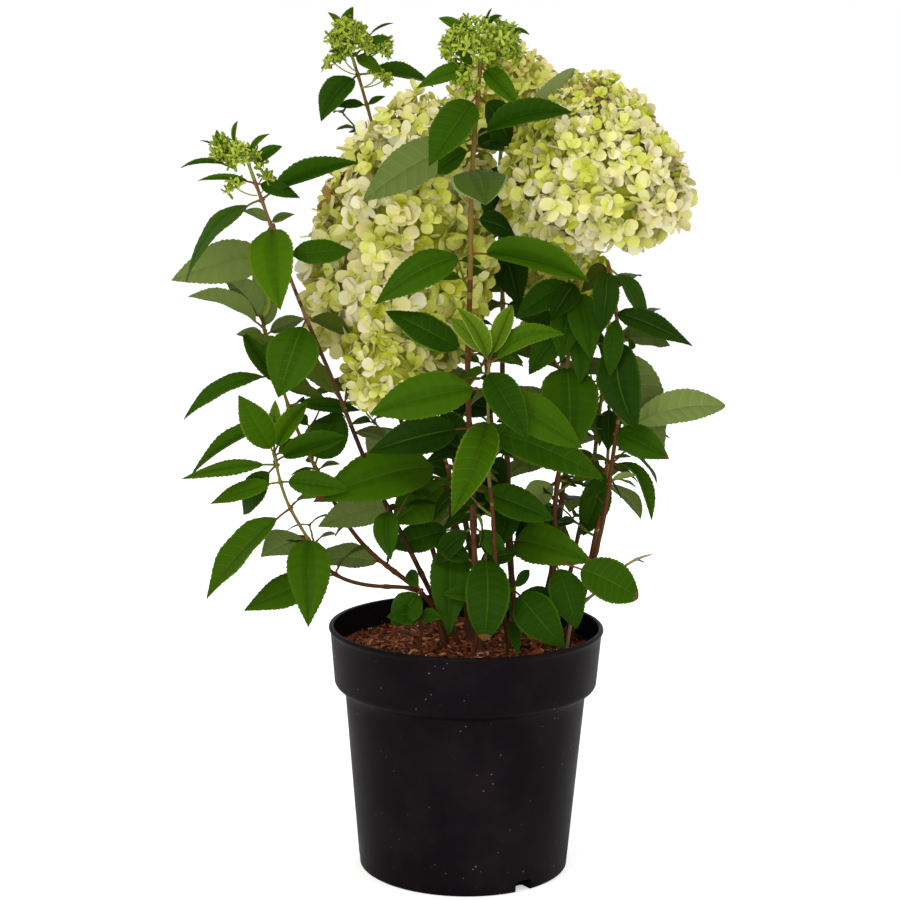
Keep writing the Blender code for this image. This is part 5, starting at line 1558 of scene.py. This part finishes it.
budPlan = {
    "knot": 6.2,
    "twigRadius": 0.6,
    "rayRadius": 0.3,
    "rays": 11,
    "budsOnRay": 4,
    "budSize": (1.15, 1.9),
    "starSize": (4.0, 7.0),
    "opened": 0.7,  # the share of a knot's rays that end in a star
    "start": 0.14,  # where the lowest knot sits, as a share of a cluster's height
    "tones": {
        "budGreen": (0.21, 0.29, 0.018),
        "budLime": (0.33, 0.42, 0.035),
        "budPale": (0.40, 0.48, 0.05),
        "budDeep": (0.14, 0.21, 0.014),
        "twigGreen": (0.24, 0.31, 0.05),
    },
    # per cane: its seed, how its knots spread and lean, bracts as (from, way, width to length, look), and
    # lower knots as (from, to, size), all measured from the cane's tip
    "clusters": {
        "left_tall": {
            "seed": 100, "widen": 0.74, "deepen": 0.4, "start": 0.5, "lean": (-22, 0, -9),
            "bracts": [
                ((-22, 0, 12), (-35, -2, -4), 0.17, "mid folded"),
                ((2, 0, 10), (21, -2, 15), 0.42, "mid folded"),
                ((-6, 0, 20), (19, -3, 15), 0.3, "fresh"),
                ((-18, 0, 28), (6, 0, 16), 0.26, "fresh folded"),
                ((-26, 0, 24), (-16, 0, 5), 0.12, "mid folded"),
                ((-25, -4, 14), (-3, -3, 24), 0.4, "fresh"),
            ],
            "knots": [((3, 0, -14), (-22, -2, -5), 0.95), ((6, 0, -12), (13, 0, 3), 0.7)],
        },
        "back_tall": {
            "seed": 104, "widen": 0.62, "deepen": 0.5, "start": 0.52, "lean": (8, 0, -1),
            "bracts": [
                ((-9, -4, 22), (8, -3, 26), 0.46, "fresh folded"),
                ((-7, 0, 30), (-16, 0, 13), 0.36, "fresh"),
                ((6, -6, 30), (-22, -5, -8), 0.42, "fresh"),
                ((14, 0, 29), (19, 0, 6), 0.14, "mid folded"),
                ((3, -4, 11), (28, -4, 12), 0.34, "mid"),
                ((-2, -4, 9), (26, -6, -16), 0.5, "mid"),
                ((0, -2, 10), (-22, -2, 0), 0.32, "mid"),
            ],
            "knots": [
                ((1, 0, -9), (-25, -3, 4), 1.15),
                ((1, 0, -6), (-14, -3, 9), 1.1),
                ((4, 0, 4), (31, -2, 14), 1.1),
                ((4, 0, 4), (21, -2, 18), 0.9),
                ((4, 0, 4), (36, -2, 22), 0.8),
                ((6, 0, -20), (26, -4, -8), 1.15),
                ((6, 0, -20), (34, -4, -11), 0.7),
            ],
        },
        "centre_front": {
            "seed": 105, "widen": 1.22, "deepen": 0.5, "lean": (-5, 0, -12),
            "bracts": [
                ((-10, -3, 20), (-24, -3, 12), 0.42, "fresh"),
                ((-14, 0, 10), (-20, 0, 3), 0.14, "fresh"),
                ((18, 0, 24), (20, 0, -4), 0.24, "mid folded"),
                ((2, 0, 29), (6, 0, 11), 0.2, "fresh folded"),
                ((2, -4, 27), (14, -2, 7), 0.34, "mid folded"),
                ((-8, -3, -8), (-10, -3, 16), 0.5, "mid"),
            ],
            "knots": [
                ((-1, 0, -22), (-19, -4, -12), 1.2),
                ((0, 0, -26), (-9, -6, -24), 1.05),
                ((0, 0, -14), (14, 2, -6), 1.0),
            ],
        },
    },
}
budTone = {name: k for k, name in enumerate(budPlan["tones"])}


# One knot: rays out of a hub in a dome about its heading, each ending in a few pointed buds. Ray k leaves at
# k golden angles, leaning 1.5·√((k+0.5)/count) away from the heading.
def budKnot(hub, heading, size, rng):
    p = budPlan
    count = max(5, int(round(p["rays"] * min(1.25, size**0.8))))
    k = np.arange(count)
    lean, turn = 1.5 * np.sqrt((k + 0.5) / count), k * goldenAngle + rng.uniform(0, 6)
    first = unit(np.cross(heading, (0.3, 1.0, 0.2)))
    second = np.cross(heading, first)
    way = heading * np.cos(lean)[:, None]
    way = way + (first * np.cos(turn)[:, None] + second * np.sin(turn)[:, None]) * np.sin(lean)[:, None]
    tips = hub + way * (p["knot"] * size * rng.uniform(0.8, 1.2, (count, 1)))
    share = np.linspace(0, 1, 4)[:, None]
    lines = hub + (tips[:, None] - hub) * share + upward * 0.9 * share * (1 - share) * size
    spread = rng.normal(0, 1, (count, p["budsOnRay"], 3))
    buds = unit(spread + way[:, None] * 0.8) * rng.uniform(0.8, 2.1, (count, p["budsOnRay"], 1))
    buds = tips[:, None] + buds
    return lines, buds.reshape(-1, 3), tips, way


# Where the twigs of a cluster fork and where they end, with the size of each knot. The upper ones wind up
# the stem by the golden angle, and the plan gives the lower ones.
def budSprays(cluster, shape, start, heading):
    low = cluster.get("start", budPlan["start"])
    top = start + heading * shape["tall"]
    same = random.Random(cluster["seed"])
    sprays = []
    for k in range(shape["count"]):
        along = (k + 0.5) / shape["count"]
        fork = start + (top - start) * (low + (0.94 - low) * along)
        wide = shape["spread"] * math.sin(math.pi * (0.3 + 0.6 * along)) * same.uniform(0.6, 1.0)
        turn = k * goldenAngle
        out = np.array((math.cos(turn), math.sin(turn), 0)) * wide * cluster["widen"]
        knot = fork + out + heading * (shape["tall"] * (0.5 * along - 0.25) * cluster["deepen"])
        sprays.append((fork, knot + np.array(cluster["lean"]) * along, same.uniform(0.7, 1.15) * 1.12))
    return sprays + [(start + np.array(a), start + np.array(b), size) for a, b, size in cluster["knots"]]


# The unopened panicles: a stem, its twigs, knots of buds on rays, and stars where buds have opened.
def makeBuds():
    p = budPlan
    rng = np.random.default_rng(23)
    surfaces = [surface(name, colour, 0.5, 0.12) for name, colour in p["tones"].items()]
    batches, bracts = [], []
    for name, cluster in p["clusters"].items():
        plan = canes[name]
        line = Line(plan)
        heading, start = line.heading(1.0), line.tip
        top = start + heading * plan["buds"]["tall"]
        stem = start - heading * 2 + (top - start) * np.linspace(0, 1, 10)[:, None]
        batches.append(tubes([stem], [np.linspace(plan["radius"][1], 0.8, 10)], 8, budTone["twigGreen"]))
        twigs, rays, buds, stars, ways = [], [], [], [], []
        for fork, knot, size in budSprays(cluster, plan["buds"], start, heading):
            reach = knot - fork
            hub = fork + reach * 0.66
            share = np.linspace(0, 1, 7)[:, None]
            twigs.append(fork + (hub - fork) * share - upward * 6.4 * share * (1 - share))
            lines, found, tips, way = budKnot(hub, unit(unit(reach) + upward * 0.7), size, rng)
            rays.append(lines)
            buds.append(found)
            opened = rng.random(len(tips)) < p["opened"]
            stars.append(tips[opened] + way[opened] * 1.2)
            ways.append(way[opened])
        rays, buds, stars, ways = (np.concatenate(part) for part in (rays, buds, stars, ways))
        batches.append(tubes(twigs, np.full((len(twigs), 7), p["twigRadius"]), 5, budTone["twigGreen"]))
        batches.append(tubes(rays, np.full((len(rays), 4), p["rayRadius"]), 3, budTone["twigGreen"]))
        sizes = rng.uniform(*p["budSize"], (len(buds), 1)) * np.array((0.9, 0.9, 1.15))
        batches.append(balls(buds, sizes, rng.choice([0, 0, 1, 1, 2, 3], len(buds)), 2, 5))
        tone = rng.choice([0, 1, 2], len(stars))
        batches += growFlorets(stars, ways, rng.uniform(*p["starSize"], len(stars)), tone, tone, rng, 0.5)
        for begin, way, broad, look in cluster["bracts"]:
            facts = leafFacts(start + np.array(begin, float), leaf(*way, front, broad, look), 7, rng)
            bracts.append({**facts, "start": start + np.array(begin, float) * 0.75})
    makePiece("budClusters", batches, surfaces, ["buds_" + name for name in p["clusters"]], 60)
    makePiece("budBracts", [growBlades(bracts, 6), growStalks(bracts)], leafSurfaces, crease=42)


makeBuds()
print("buds made")
